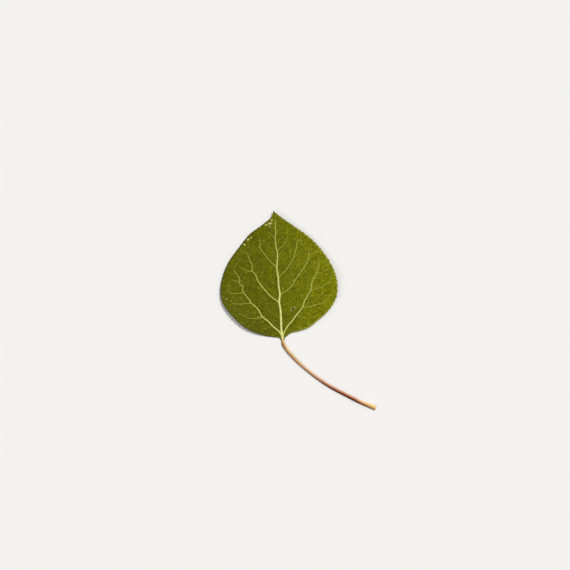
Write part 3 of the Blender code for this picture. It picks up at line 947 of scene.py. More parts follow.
@dataclass(frozen=True)
class UpperSkin:
    """Upper skin of a dried aspen blade: green cells under a thin waxy cuticle.

    It gives the eye the blade's green with small dry specks, painted shade beside the veins, a
    thin cord at the margin that gives way to a painted shadow on the left, and a low, satin sheen.
    """

    green: BladeGreen = BladeGreen()
    # Painted shade: the deeper green beside the main veins
    vein_foot_shade: str = "#343800"
    # The margin's own pale cord, and the painted shadow that takes its place on the left
    margin: str = "#A8A550"
    painted_shadow_margin: str = "#3C3608"
    tooth: str = "#6B5A18"
    fleck: str = "#A4A634"
    gloss: Gloss = Gloss(0.55, 0.05, 0.6, 0.03)

    def material(self) -> bpy.types.Material:
        """Build the material from Object coordinates and the blade's own values.

        Returns:
            The material.
        """
        graph = Graph("aspen_upper_skin")
        colour, net = self.green.colour(graph)
        # Dry flecks 0.4 mm across, in a tenth of the cells 1.3 mm wide, or half where it is yellowest
        cells = graph.add("TexVoronoi", size=1.3, voronoi_dimensions="2D")
        dot = graph.add("MapRange", (cells, 0.08, 0.24, 0.65, 0.0))
        chosen = graph.add("SeparateColor", (cells.node.outputs["Color"],))
        odds = graph.add("Math", ("yellowing", 0.8, chosen), operation="MULTIPLY_ADD")
        few = graph.add("Math", (odds, 1.1), operation="GREATER_THAN")
        dot = graph.add("Math", (dot, few), operation="MULTIPLY")
        # Beside each main vein a band 0.5 mm wide, in broken lengths of 1 mm, is painted a deeper green:
        # painted shade at the vein's foot
        vein_shade = graph.add("MapRange", ("vein_gap", 0.05, 0.55, 1.0, 0.0))
        broken = graph.add("MapRange", (graph.add("TexNoise", size=1.0), 0.35, 0.65, 0.1, 0.7))
        vein_shade = graph.add("Math", (vein_shade, broken), operation="MULTIPLY")
        # A thin cord runs along the margin, with browner points on the teeth. On the right, towards the
        # key lamp, it is the margin's own pale cord. On the left a painted shadow takes its place
        cord = graph.add("MapRange", ("edge", 0.14, 0.42, 0.8, 0.0))
        sides = {0: "cord", 6: self.painted_shadow_margin, 7: self.margin}
        tone = graph.add("Mix", sides, 2, data_type="RGBA")
        point = graph.add("Math", ("tooth", cord), operation="MULTIPLY", use_clamp=True)
        layers = ((dot, self.fleck), (vein_shade, self.vein_foot_shade), (cord, tone), (point, self.tooth))
        # The net and the cells between, 0.25 mm wide, stand out by at most 0.03 mm
        grain = graph.add("TexNoise", size=0.25)
        height = graph.add("Math", (grain, 0.5, net), operation="MULTIPLY_ADD")
        return graph.close(colour, self.gloss, height, layers)


@dataclass(frozen=True)
class UnderSkin:
    """Under skin of a dried aspen blade: a bloom of wax over loose cells.

    It gives the eye a pale, dull grey-green, with the net of veins clearer than above.
    """

    base: str = "#868D52"
    patch: str = "#767D40"
    net: str = "#9BA066"
    gloss: Gloss = Gloss(0.68, 0.2, 0.7, 0.04)

    def material(self) -> bpy.types.Material:
        """Build the material from Object coordinates, with patches of 4 mm.

        Returns:
            The material.
        """
        graph = Graph("aspen_under_skin")
        clouds = graph.add("TexNoise", {"Detail": 3.0}, size=4.0)
        line = vein_net(graph)
        return graph.close(self.base, self.gloss, line, ((clouds, self.patch), (line, self.net)))


@dataclass(frozen=True)
class VeinSheath:
    """Woody sheath of a dried leaf vein, as it shows through a thin, smooth skin.

    It gives the eye a pale straw line on the midrib that turns cream at the stalk and dulls to the
    blade's green in the finer veins, with soft edges and a slightly waxier gloss than the blade.
    """

    green: BladeGreen = BladeGreen()
    tones: Stops = (
        (0.0, "#7A7D14"), (0.3, "#868A20"), (0.5, "#989B34"), (0.7, "#B0B250"), (0.85, "#C8CA70"),
        (1.0, "#E0E18C"),
    )
    below: Stops = ((0.0, "#8B9154"), (0.35, "#A3A766"), (1.0, "#D6D694"))
    at_stalk: str = "#E6CF92"
    gloss: Gloss = Gloss(0.45, 0.15, 0.5, 0.03)

    def material(self) -> bpy.types.Material:
        """Build the material from the veins' own values and Object coordinates.

        Returns:
            The material.
        """
        graph = Graph("leaf_vein_sheath")
        green, _ = self.green.colour(graph)
        side = graph.add("Math", ("across",), operation="ABSOLUTE")
        core = graph.add("MapRange", (side, 0.6, 1.0, 1.0, 0.3), interpolation_type="SMOOTHSTEP")
        # The sheath is broken into slightly greener and paler lengths of about 0.9 mm
        lengths = graph.add("TexNoise", size=0.9)
        uneven = graph.add("MapRange", (lengths, 0.0, 1.0, 0.86, 1.12))
        tone = graph.add("Math", ("pallor", core), operation="MULTIPLY")
        tone = graph.add("Math", (tone, uneven), operation="MULTIPLY", use_clamp=True)
        straw = graph.add("ValToRGB", (tone,), stops=self.tones)
        # The palest two thirds of the tones are straw alone, and below them the blade's green shows
        cover = graph.add("MapRange", (tone, 0.0, 0.35))
        # On the under side it has the bloom of the skin there
        bloom = graph.add("ValToRGB", (tone,), stops=self.below)
        layers = ((cover, straw), ("below", bloom), ("stalkward", self.at_stalk))
        return graph.close(green, self.gloss, lengths, layers)


@dataclass(frozen=True)
class StalkSkin:
    """Skin of a dried aspen stalk: long fibres under a thin cuticle, red in part.

    It gives the eye cream at the blade, then pinkish tan, then deep red below and pink above, and
    an orange-tan loose end, with fine lengthwise streaks and a satin gloss. The red below is partly
    its own colour and partly painted shade on the side away from the key lamp. The pink above is a
    painted highlight on the side that faces the lamp.
    """

    # The stalk's own colours along it, at the middle of its section; from half way their deep red is partly
    # painted shade that reaches in from the side away from the key lamp
    middle: Stops = (
        (0.012, "#E6CF92"), (0.027, "#CFA462"), (0.05, "#B88850"), (0.1, "#C6986A"), (0.2, "#BC9068"),
        (0.33, "#C69A74"), (0.45, "#C08A64"), (0.55, "#98542E"), (0.63, "#7C3614"), (0.82, "#702C08"),
        (0.9, "#B47644"), (1.0, "#E8BC6E"),
    )
    # Painted shade: darker colours for the side away from the key lamp, partly the stalk's own deep red
    shade: Stops = (
        (0.012, "#D6B87A"), (0.03, "#A0703A"), (0.05, "#6E3A0E"), (0.09, "#A07448"), (0.2, "#A87E56"),
        (0.34, "#A0704A"), (0.44, "#8A5430"), (0.5, "#743618"), (0.6, "#5C2008"), (0.85, "#581C08"),
        (0.93, "#8A5422"), (1.0, "#B88A40"),
    )
    # Painted highlight: lighter, pinker colours for the side that faces the key lamp
    light: Stops = (
        (0.012, "#E6CF92"), (0.03, "#D2AC68"), (0.06, "#D8B470"), (0.1, "#E6CC96"), (0.25, "#D8BC92"),
        (0.36, "#DCB492"), (0.48, "#D8A888"), (0.6, "#D09C7A"), (0.75, "#C88C64"), (0.82, "#CA8E60"),
        (0.87, "#E6B484"), (0.92, "#ECC086"), (1.0, "#F6D88A"),
    )
    cut: str = "#A8793C"
    fibre_counts: tuple[float, float, float] = (9.0, 26.0, 1.0)
    gloss: Gloss = Gloss(0.58, 0.08, 0.7, 0.06)

    def material(self) -> bpy.types.Material:
        """Build the material from the stalk's own values.

        Returns:
            The material.
        """
        graph = Graph("aspen_stalk_skin")
        # Fibres: noise with few waves along the stalk and many round it
        spot = {"Vector": graph.add("CombineXYZ", ("along", "round")), "Scale": self.fibre_counts}
        stretched = {"Vector": graph.add("Mapping", spot), "Scale": 1.0, "Detail": 4.0}
        fibres = graph.add("TexNoise", stretched)
        # The stalk's colour in three copies along it: its own, a darker painted-shade copy for the side away
        # from the key lamp, and a lighter painted-highlight copy for the side that faces it
        tones = (self.middle, self.shade, self.light)
        colour, shade, light = (graph.add("ValToRGB", ("along",), stops=stops) for stops in tones)
        # The fibres fray the edges of the painted shade and of the painted highlight
        ragged = graph.add("Math", (fibres, 0.5, -0.25), operation="MULTIPLY_ADD")
        turn = graph.add("Math", ("lamp_facing", ragged), operation="ADD")
        for tone, ends in ((shade, (-0.3, 0.1, 1.0, 0.0)), (light, (0.15, 0.5, 0.0, 1.0))):
            share = graph.add("MapRange", (turn, *ends), interpolation_type="SMOOTHSTEP")
            colour = graph.add("Mix", {0: share, 6: colour, 7: tone}, 2, data_type="RGBA")
        streak = graph.add("MapRange", (fibres, 0.3, 0.7, 0.8, 1.15))
        colour = graph.add("VectorMath", {0: colour, 3: streak}, operation="SCALE")
        return graph.close(colour, self.gloss, fibres, (("cut", self.cut),))


@dataclass(frozen=True)
class MealSpeck:
    """Dry mealy crust, left on the skin where sap or insects' scale has dried.

    It gives the eye small, rough dots, chalky cream where the crust is thick and yellow-green
    where it is thin.
    """

    pale: str = "#E2DC94"
    dull: str = "#A9A440"
    thin: str = "#A4A23E"
    gloss: Gloss = Gloss(0.85, 0.1, 0.8, 0.05)

    def material(self) -> bpy.types.Material:
        """Build the material from each crust's thickness and grains of 0.3 mm.

        Returns:
            The material.
        """
        graph = Graph("dried_mealy_crust")
        grain = graph.add("TexNoise", {"Detail": 3.0}, size=0.3)
        share = graph.add("MapRange", (grain, 0.35, 0.65))
        crust = graph.add("Mix", {0: share, 6: self.dull, 7: self.pale}, 2, data_type="RGBA")
        return graph.close(self.thin, self.gloss, grain, (("thick", crust),))


@dataclass(frozen=True)
class ScarCork:
    """Cork that a leaf grows round an old bite.

    It gives the eye a dull tan-olive lip that fades into the blade's green, round a pit that is
    painted nearly black as painted shade, so that it reads as a hole.
    """

    # The nearly black tones at the pit are painted shade, so that the shallow pit reads as a hole
    tones: Stops = (
        (0.0, "#120C00"), (0.28, "#1E1800"), (0.4, "#5C5610"), (0.55, "#938E44"), (0.72, "#8E8A3C"),
        (1.0, "#66680C"),
    )
    gloss: Gloss = Gloss(0.8, 0.1, 0.6, 0.04)

    def material(self) -> bpy.types.Material:
        """Build the material from the share out from the pit, roughened by grains of 0.3 mm.

        Returns:
            The material.
        """
        graph = Graph("bite_scar_cork")
        grain = graph.add("TexNoise", size=0.3)
        ragged = graph.add("Math", (grain, 0.3, -0.15), operation="MULTIPLY_ADD")
        share = graph.add("Math", ("out", ragged), operation="ADD", use_clamp=True)
        colour = graph.add("ValToRGB", (share,), stops=self.tones)
        return graph.close(colour, self.gloss, grain)


@dataclass
class Lamina:
    """The blade's sheet: two faces that follow the relief and meet in a rounded, toothed rim."""

    plan: BladePlan
    relief: BladeRelief
    tint: BladeTint
    veins: tuple[Vein, ...]
    stations: int = 704
    rings: int = 62
    tooth_band: float = 0.94
    rim_bulge: float = 0.08
    # Where the margin goes from painted shadow on the left to its own pale cord on the right
    shadow_to_cord: Pair = (-9.0, 10.0)
    # How far the painted shade beside the main veins reaches, and how it fades along them
    widest_gap: float = 9.0
    dark_within: float = 2.0
    dark_fade: float = 1.2
    dark_fades_from: float = 0.45

    def spots(self, rim: Rim) -> np.ndarray:
        """Plan points of the sheet, by ring, from the innermost to the margin, and by station.

        A point is the middle plus a share of the way to the smooth margin, and in the outermost
        band the tooth's step is added along the margin's normal, growing in an S-curve.

        Args:
            rim: The margin.

        Returns:
            The points.
        """
        share = np.linspace(0.0, 1.0, self.rings + 1)[1:, None, None]
        smooth = np.asarray(self.plan.middle) + share * (rim.points - self.plan.middle)
        tooth = (rim.tooth[:, None] * rim.outward)[None]
        return smooth + smooth_step(share, self.tooth_band, 1.0) * tooth

    def values(self, rim: Rim, spots: np.ndarray) -> dict[str, np.ndarray]:
        """Values that the skin's colours follow.

        The edge value is the distance in from the margin. The cord value is how pale the margin is, from
        painted shadow on the left to its own pale cord on the right. The vein gap is the distance out
        from a main vein's foot, which sets the painted shade beside the veins. It widens along the vein
        so that what follows it fades.

        Args:
            rim: The margin.
            spots: Plan points by ring and station.

        Returns:
            The values by name, by ring and station.
        """
        x = spots[..., 0]
        gap = np.full(x.size, self.widest_gap)
        for vein in self.veins:
            if vein.order in (VeinOrder.MIDRIB, VeinOrder.SIDE):
                away, share = vein.line.gap_and_share(spots.reshape(-1, 2), self.dark_within)
                half = vein.girth * blend(vein.order.value.half_width, share)
                fade = self.dark_fade * smooth_step(share, self.dark_fades_from, 1.0)
                gap = np.minimum(gap, away - half + fade)
        return {
            "yellowing": self.tint.yellowing(spots),
            "edge": np.linalg.norm(spots[-1][None] - spots, axis=-1),
            "cord": smooth_step(x, *self.shadow_to_cord),
            "vein_gap": gap.reshape(x.shape),
            "tooth": np.broadcast_to(rim.tooth_tip, x.shape),
        }

    def shape(self) -> tuple[Shape, np.ndarray]:
        """The closed sheet: two round grids with a point in the middle, and a rim between them.

        Returns:
            The shape, and for each face 0 down to the middle of the rim or 1 below it.
        """
        rim = self.plan.rim(self.stations)
        spots = self.spots(rim)
        flat = np.concatenate([[self.plan.middle], spots.reshape(-1, 2)])
        top, under = self.relief.faces(flat)
        half = len(flat)
        # Quads between the rings, a fan round the middle point, and a row on each side of the rim
        index = 1 + np.arange(self.rings * self.stations).reshape(self.rings, self.stations)
        turned = np.roll(index, -1, axis=1)
        grid = np.stack([index[:-1], index[1:], turned[1:], turned[:-1]], axis=-1).reshape(-1, 4)
        fan = np.stack([np.zeros(self.stations, int), index[0], turned[0]], axis=-1)
        rim_index = 2 * half + np.arange(self.stations)
        rim_turned = np.roll(rim_index, -1)
        upper_rim = np.stack([index[-1], rim_index, rim_turned, turned[-1]], axis=-1)
        lower_rim = np.stack([rim_index, index[-1] + half, turned[-1] + half, rim_turned], axis=-1)
        # The faces stop short of the margin, which only the middle of the rim reaches
        bulge = spots[-1].copy()
        spots[-1] -= rim.outward * self.rim_bulge
        flat[-self.stations :] = spots[-1]
        height = (top[index[-1]] + under[index[-1]]) / 2
        points = np.vstack([
            np.column_stack([flat, top]), np.column_stack([flat, under]), np.column_stack([bulge, height]),
        ])
        faces = [fan, grid, upper_rim, lower_rim, fan[:, ::-1] + half, grid[:, ::-1] + half]
        kept = {}
        for name, value in self.values(rim, spots).items():
            face = np.concatenate([[value[0].mean()], value.ravel()])
            kept[name] = np.concatenate([face, face, value[-1]])
        finish = np.concatenate([np.full(len(block), block.min() >= half) for block in faces])
        return Shape(points, faces, kept), finish

    def build(self, placer: Placer) -> None:
        """Make and dress the sheet.

        Args:
            placer: What puts it into the frame.
        """
        shape, finish = self.shape()
        placer.piece(
            "blade_lamina", shape, Part.BLADE, UpperSkin().material(), UnderSkin().material(), finish=finish
        )


@dataclass
class Venation:
    """The veins that stand out as ridges: each a flattened rod that runs through the sheet."""

    relief: BladeRelief
    tint: BladeTint
    veins: tuple[Vein, ...]
    spacing: float = 0.22
    foot: float = 0.3
    fade_from: float = 0.9
    knot: float = 0.07
    knot_waves: Pair = (2.7, 5.1)
    flare_length: float = 0.8
    end_taper: float = 0.08
    least_taper: float = 0.02
    sink_length: float = 1.8
    sink_height: float = 0.2
    sunk_taper: float = 0.55
    cream_from_to: Pair = (-0.4, 1.8)

    def ridge(self, vein: Vein) -> Shape:
        """One vein, as a section carried along its line.

        The section is a flat ellipse. Its upper half stands on the blade's upper face and its
        lower half hangs from the under face, no lower than the surface, with its feet sunk in. It
        is widest at the root, and two sine waves along it make it slightly knotted.

        Args:
            vein: The vein.

        Returns:
            Its closed shape, with the values that its skin follows.
        """
        size, girth = vein.order.value, vein.girth
        stops = np.linspace(0.0, vein.line.length, max(4, int(vein.line.length / self.spacing)))
        share = stops / vein.line.length
        taper = np.sqrt(np.clip((1.0 - share) / self.end_taper, self.least_taper, 1.0))
        turn = turns(size.sides, 0.5)
        across, up = np.cos(turn)[None], np.sin(turn)[None]
        slow, quick = self.knot_waves
        knots = self.knot * (np.sin(slow * stops + vein.line.length) + np.sin(quick * stops))
        flare = 1.0 + size.flare * np.exp(-stops / self.flare_length) + knots
        lowest = np.full(len(stops), size.lowest)
        if vein.order is VeinOrder.MIDRIB:
            # The midrib sinks into the stalk where it starts, above and below
            sunk = 1.0 - smooth_step(stops, 0.0, self.sink_length)
            taper = taper * (1.0 - self.sunk_taper * sunk)
            lowest = lowest + self.sink_height * sunk
        half = (girth * blend(size.half_width, share) * taper * flare)[:, None]
        middle, normal = vein.line.at(stops), vein.line.right_of(stops)
        spots = middle[:, None] + (half * across)[..., None] * normal[:, None]
        top, under = self.relief.faces(spots)
        crown = ((1.0 + self.foot) * np.abs(up) - self.foot) * taper[:, None]
        rise = (girth * blend(size.rise, share))[:, None] * crown
        hang = (girth * blend(size.under_rise, share))[:, None] * crown
        height = np.where(up > 0, top + rise, np.maximum(under - hang, lowest[:, None]))
        fade = 1.0 - smooth_step(share, self.fade_from, 1.0)
        return Shape.tube(np.dstack([spots, height]), {
            "pallor": (vein.paleness(share) * fade)[:, None],
            "across": across,
            "yellowing": self.tint.yellowing(spots),
            "stalkward": 1.0 - smooth_step(spots[..., 1], *self.cream_from_to),
            "below": 1.0 * (up < 0),
        })

    def build(self, placer: Placer) -> None:
        """Make and dress the veins, one piece for each order.

        Args:
            placer: What puts them into the frame.
        """
        sheath = VeinSheath().material()
        for order in VeinOrder:
            shape = Shape.joined([self.ridge(vein) for vein in self.veins if vein.order is order])
            placer.piece(f"blade_veins_{order.name.lower()}", shape, Part.BLADE, sheath)


@dataclass
class MealySpecks:
    """Small dry crusts on the upper face: a few clusters near the left edge, and strays.

    A cluster is its middle, its reach along x and y, its number of crusts and their size. The
    crusts scatter about the middle by a share of the reach.
    """

    plan: BladePlan
    relief: BladeRelief
    clusters: tuple[tuple[float, float, float, float, int, float], ...] = (
        (-3.95, 43.5, 0.12, 0.12, 3, 0.42),
        (-4.7, 42.3, 0.5, 0.5, 9, 0.24),
        (-6.0, 41.8, 0.35, 0.2, 4, 0.22),
        (-5.0, 41.2, 0.4, 0.2, 3, 0.2),
        (-11.6, 36.85, 0.15, 0.15, 2, 0.32),
        (-12.5, 36.35, 0.6, 0.12, 6, 0.29),
        (-13.9, 34.6, 0.4, 0.25, 4, 0.2),
        (-7.0, 36.0, 0.9, 0.2, 3, 0.13),
        (-16.3, 31.3, 0.3, 0.3, 3, 0.14),
        (-20.6, 14.7, 0.15, 0.3, 2, 0.15),
        (-18.8, 14.0, 0.1, 0.1, 1, 0.14),
        (9.5, 5.6, 0.15, 0.15, 2, 0.17),
        (6.5, 4.1, 0.1, 0.1, 1, 0.17),
        (13.9, 16.0, 0.7, 0.8, 3, 0.13),
    )
    scatter: float = 0.6
    size_range: Pair = (0.6, 1.25)
    strays: int = 60
    stray_size: float = 0.09
    stray_range: Pair = (0.6, 1.4)
    stray_places: Pair = (0.05, 0.93)
    stations: int = 400
    lobe_size: float = 0.12
    rings: int = 5
    sides: int = 12
    flatness: float = 0.24
    arc_from: float = -0.35
    thin_to_thick: Pair = (0.12, 0.22)
    seed: int = 5

    def shape(self) -> Shape:
        """The crusts: low domes with an uneven edge, closed below inside the sheet.

        A dome's rings follow a quarter circle from a little below the skin, and three sine waves
        round it make it uneven.

        Returns:
            The crusts' shape, with how thick each is.
        """
        rng = np.random.default_rng(self.seed)
        middles, sizes = [], []
        for x, y, wide, high, count, size in self.clusters:
            middles.append(np.array([x, y]) + rng.normal(0.0, self.scatter, (count, 2)) * [wide, high])
            sizes.append(size * rng.uniform(*self.size_range, count))
        station = rng.integers(0, self.stations, self.strays)
        share = np.sqrt(rng.uniform(*self.stray_places, self.strays))[:, None]
        out = self.plan.rim(self.stations).points[station] - self.plan.middle
        middles.append(np.asarray(self.plan.middle) + share * out)
        sizes.append(self.stray_size * rng.uniform(*self.stray_range, self.strays))
        middle, size = np.concatenate(middles), np.concatenate(sizes)
        turn = turns(self.sides)
        lobes = rng.uniform(0.0, 2 * math.pi, (3, len(size), 1, 1))
        uneven = 1.0 + sum(self.lobe_size * np.sin(n * turn + lobe) for n, lobe in zip((2, 3, 5), lobes))
        arc = np.linspace(self.arc_from, 1.0, self.rings + 2)[1:-1] * math.pi / 2
        reach = (np.cos(arc)[None, :, None] * uneven * size[:, None, None])[..., None]
        spots = middle[:, None, None] + reach * np.stack([np.cos(turn), np.sin(turn)], axis=-1)
        ground = self.relief.faces(middle)[0][:, None, None]
        height = ground + self.flatness * size[:, None, None] * np.sin(arc)[None, :, None] * uneven
        thick = smooth_step(size, *self.thin_to_thick)
        return Shape.joined([
            Shape.tube(np.dstack([ring_spots, rise]), {"thick": share})
            for ring_spots, rise, share in zip(spots, height, thick)
        ])

    def build(self, placer: Placer) -> None:
        """Make and dress the crusts."""
        placer.piece("blade_specks", self.shape(), Part.BLADE, MealSpeck().material())


@dataclass(frozen=True)
class Scar:
    """An old bite in the blade: its middle, half sizes, tilt, and the shift of its dark pit."""

    middle: Pair
    half_size: Pair
    tilt: float
    pit_shift: float


@dataclass
class Scars:
    """Healed bites: low oval craters with a pale corky lip and a dark pit."""

    relief: BladeRelief
    scars: tuple[Scar, ...] = (
        Scar((3.8, 11.16), (1.4, 0.74), math.radians(36.0), -0.16),
        Scar((-8.7, 8.0), (0.85, 0.62), math.radians(12.0), 0.0),
    )
    rings: int = 14
    sides: int = 40
    pit: float = 0.05
    lip: float = 0.05
    lip_place: float = 0.7
    lip_width: float = 0.2
    clearance: float = 0.012
    rim_drop: float = 0.08
    drops_from: float = 0.9
    foot_drop: float = 0.05
    wave_sizes: Pair = (0.03, 0.08)
    wave_turns: Pair = (0.0, 6.0)
    seed: int = 3

    def crater(self, scar: Scar, rng: np.random.Generator) -> Shape:
        """One crater, as rings that shrink to the pit.

        Its height over the face, by the share out from the pit, is a bell curve round the lip,
        at seven tenths of the way out, and sinks into the sheet at its foot. Four sine waves of
        random size and turn make its outline uneven.

        Args:
            scar: The bite.
            rng: The source of its uneven outline.

        Returns:
            Its closed shape, with the share out at each point.
        """
        turn = turns(self.sides)
        uneven = 1.0 + sum(
            rng.uniform(*self.wave_sizes) * np.sin(n * turn + rng.uniform(*self.wave_turns))
            for n in (2, 3, 5, 7)
        )
        out = np.linspace(1.0, self.pit, self.rings)[:, None]
        wide, high = scar.half_size
        u = wide * out * uneven * np.cos(turn) + scar.pit_shift * wide * (1.0 - out)
        v = high * out * uneven * np.sin(turn)
        spots = np.stack([
            scar.middle[0] + u * math.cos(scar.tilt) - v * math.sin(scar.tilt),
            scar.middle[1] + u * math.sin(scar.tilt) + v * math.cos(scar.tilt),
        ], axis=-1)
        rise = self.lip * bell(out - self.lip_place, self.lip_width)
        rise = rise - self.rim_drop * smooth_step(out, self.drops_from, 1.0)
        height = self.relief.faces(spots)[0] + rise + self.clearance
        foot = np.dstack([spots[:1], height[:1] - self.foot_drop])
        rings = np.concatenate([foot, np.dstack([spots, height])])
        return Shape.tube(rings, {"out": np.concatenate([[[1.0]], out])})

    def build(self, placer: Placer) -> None:
        """Make and dress the craters.

        Args:
            placer: What puts them into the frame.
        """
        rng = np.random.default_rng(self.seed)
        shape = Shape.joined([self.crater(scar, rng) for scar in self.scars])
        placer.piece("blade_scars", shape, Part.BLADE, ScarCork().material())


@dataclass
class Stalk:
    """The stalk: a grooved section carried from the blade's neck to the flared, slanted loose end.

    A section is the share of the length where it lies, its width and its height, and a wander of
    the ribs is its size and its radians along the stalk. The key lamp falls on it across and from
    above. The skin paints the side that faces the lamp lighter, as a painted highlight, and the side
    away from it darker, as painted shade.
    """

    route: Route = (
        (0.0, 0.35), (0.05, -0.55), (0.12, -1.3), (0.4, -1.97), (1.1, -3.13), (3.85, -6.44),
        (8.96, -11.18), (15.88, -16.26), (22.44, -19.9), (30.2, -23.64), (33.74, -24.92),
    )
    sections: tuple[tuple[float, float, float], ...] = (
        (0.00, 0.60, 0.70), (0.022, 0.98, 1.02), (0.05, 1.06, 1.10), (0.10, 1.28, 0.95),
        (0.17, 1.36, 0.78), (0.25, 1.22, 0.74), (0.33, 1.10, 0.76), (0.47, 1.08, 0.80),
        (0.60, 1.18, 0.85), (0.88, 1.22, 0.90), (0.95, 1.36, 1.00), (1.00, 1.64, 1.12),
    )
    middle_share: float = 0.44
    slant: float = math.radians(10.0)
    slant_from: float = 0.93
    spacing: float = 0.16
    sides: int = 56
    groove_depth: float = 0.1
    groove_half_width: float = 0.2
    groove_from_to: Pair = (0.02, 0.2)
    rib_height: float = 0.018
    ribs: int = 11
    wanders: tuple[Pair, ...] = ((0.5, 23.0), (0.35, 61.0))
    blur: int = 9
    nub_share: float = 0.815
    nub_turn: float = 2.5
    nub_size: float = 0.22
    nub_half_length: float = 0.35
    nub_half_turn: float = 0.45
    cap_rings: int = 4
    cap_hub: float = 0.12
    pith_depth: float = 0.12
    cut_from_to: Pair = (0.6, 1.0)
    # How far across and up the key lamp lies, which sets the skin's painted highlight and painted shade
    lamp_direction: Pair = (-0.85, 0.25)

    def shape(self) -> Shape:
        """The stalk's closed shape.

        A section is an ellipse, pressed flat at the surface, with a shallow groove along the top
        and fine ribs round it, which wander in two sine waves. Its width and height follow the
        listed sections in a smooth curve, and bell curves along and round it make a small nub.

        Returns:
            The shape, with its share along, its turn round, how far it faces the key lamp, which sets the
            painted highlight and painted shade, and its cut end.
        """
        line = Curve.through(self.route)
        count = int(line.length / self.spacing)
        stops = np.linspace(0.0, line.length, count)
        share = stops / line.length
        known, widths, heights = (np.array(column) for column in zip(*self.sections))
        blur = np.hanning(self.blur) / np.hanning(self.blur).sum()
        width, height = (
            np.convolve(np.pad(np.interp(share, known, size), self.blur // 2, "edge"), blur, "valid")[:, None]
            for size in (widths, heights)
        )
        turn = turns(self.sides, 0.5)[None]
        across, up = np.cos(turn), np.sin(turn)
        wander = sum(size * np.sin(share * wave) for size, wave in self.wanders)[:, None]
        rib = self.rib_height * np.sin(self.ribs * turn + wander)
        nub = self.nub_size * bell((share - self.nub_share) * line.length, self.nub_half_length)[:, None]
        nub = nub * bell(turn - self.nub_turn, self.nub_half_turn)
        sideways = (0.5 * width + rib + nub) * across
        groove = self.groove_depth * bell(across, self.groove_half_width) * (up > 0)
        groove = groove * smooth_step(share, *self.groove_from_to)[:, None]
        upward = height * (1 - self.middle_share) + rib + nub - groove
        z = np.maximum(height * self.middle_share + upward * up, 0.0)
        normal = line.right_of(stops)
        tangent = np.stack([-normal[:, 1], normal[:, 0]], axis=-1)
        lean = np.tan(self.slant) * np.clip((share - self.slant_from) / (1 - self.slant_from), 0, None)
        plan = (
            line.at(stops)[:, None] + sideways[..., None] * normal[:, None]
            + (sideways * lean[:, None])[..., None] * tangent[:, None]
        )
        rings = np.dstack([plan, z])
        # The cut end closes in shrinking rings, and its pith has dried back a little
        hub = rings[-1].mean(axis=0)
        shrink = np.linspace(1.0, self.cap_hub, self.cap_rings + 1)[1:, None, None]
        back = np.array([*tangent[-1], 0.0]) * self.pith_depth
        cap = hub + (rings[-1] - hub)[None] * shrink + back * (1.0 - shrink) ** 0.5
        cut = np.concatenate([np.zeros(count), np.linspace(*self.cut_from_to, self.cap_rings)])
        return Shape.tube(np.concatenate([rings, cap]), {
            "along": np.concatenate([share, np.ones(self.cap_rings)])[:, None],
            "round": np.abs(turn - math.pi) / math.pi,
            # Painted light: how far each point faces the key lamp, which the skin paints lighter or darker
            "lamp_facing": self.lamp_direction[0] * across + self.lamp_direction[1] * up,
            "cut": cut[:, None],
        })

    def build(self, placer: Placer) -> None:
        """Make and dress the stalk."""
        placer.piece("stalk_skin", self.shape(), Part.STALK, StalkSkin().material())


@dataclass(frozen=True)
class Lamp:
    """A distant soft lamp: the direction to it, the angle that it takes up, and its irradiance."""

    towards: tuple[float, float, float]
    spread: float
    irradiance: float


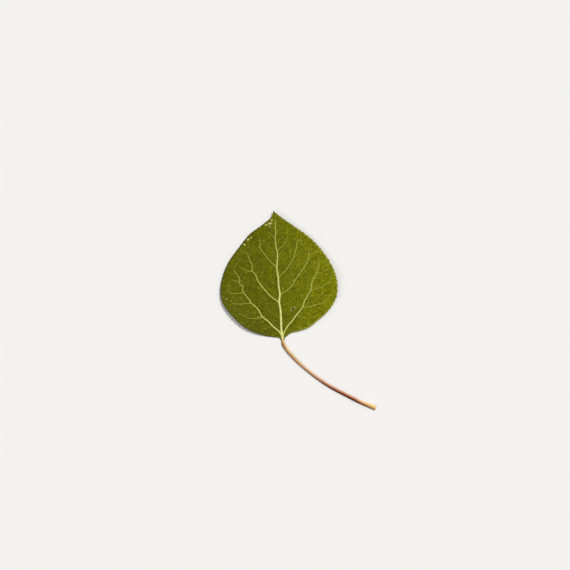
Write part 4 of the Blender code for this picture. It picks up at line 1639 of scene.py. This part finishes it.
@dataclass
class Studio:
    """A pale floor, soft light from the upper right, and a camera that looks straight down."""

    frame_width: float = 207.5
    frame_centre: Pair = (-4.77, 9.27)
    lens: float = 135.0
    sensor: float = 36.0
    focus_height: float = 0.8
    clip: Pair = (0.01, 40.0)
    floor_half: float = 12000.0
    floor_tone: str = "#F0EFEC"
    floor_gloss: Gloss = Gloss(0.9, 0.1)
    key: Lamp = Lamp((0.37, 0.41, 0.83), math.radians(20.0), 2.3)
    fill: Lamp = Lamp((-0.61, -0.42, 0.67), math.radians(40.0), 0.55)
    sky_tone: str = "#F7F8FA"
    sky_strength: float = 0.33

    def build(self) -> None:
        """Make the floor, the lamps, the sky and the camera."""
        half = self.floor_half * MM
        mesh = bpy.data.meshes.new("floor")
        corners = [(-half, -half, 0.0), (half, -half, 0.0), (half, half, 0.0), (-half, half, 0.0)]
        mesh.from_pydata(corners, [], [(0, 1, 2, 3)])
        mesh.materials.append(Graph("matt_white_card").close(self.floor_tone, self.floor_gloss))
        add_object("floor", mesh)
        self.hang("key", self.key)
        self.hang("fill", self.fill)
        world = bpy.data.worlds.new("studio")
        world.use_nodes = True
        background = world.node_tree.nodes["Background"]
        background.inputs["Color"].default_value = linear(self.sky_tone)
        background.inputs["Strength"].default_value = self.sky_strength
        camera = bpy.data.cameras.new("camera")
        camera.lens, camera.sensor_width = self.lens, self.sensor
        camera.clip_start, camera.clip_end = self.clip
        viewer = add_object("camera", camera)
        distance = self.frame_width * self.lens / self.sensor + self.focus_height
        viewer.location = (self.frame_centre[0] * MM, self.frame_centre[1] * MM, distance * MM)
        scene = bpy.context.scene
        scene.world, scene.camera = world, viewer
        scene.view_settings.view_transform = "Standard"

    def hang(self, name: str, lamp: Lamp) -> None:
        """Hang a lamp, which is as bright all over the floor.

        Args:
            name: Its name.
            lamp: Where it hangs, and its light.
        """
        light = bpy.data.lights.new(name, "SUN")
        light.energy, light.angle = lamp.irradiance, lamp.spread
        holder = add_object(name, light)
        x, y, z = lamp.towards
        holder.location = lamp.towards
        holder.rotation_euler = (math.acos(z / math.hypot(x, y, z)), 0.0, math.atan2(x, -y))


def main() -> None:
    """Build the leaf's pieces in order, then the studio."""
    logging.basicConfig(level=logging.INFO, format="%(name)s %(message)s")
    plan = BladePlan()
    tint = BladeTint(plan)
    veins = VeinPlan().veins()
    relief = BladeRelief(plan, veins)
    scars = Scars(relief)
    fine = FineVeins(plan).veins(veins, scars.scars)
    placer = Placer.from_frame(plan)
    Lamina(plan, relief, tint, veins).build(placer)
    Venation(relief, tint, veins + fine).build(placer)
    scars.build(placer)
    MealySpecks(plan, relief).build(placer)
    Stalk().build(placer)
    Studio().build()


if __name__ == "__main__":
    main()
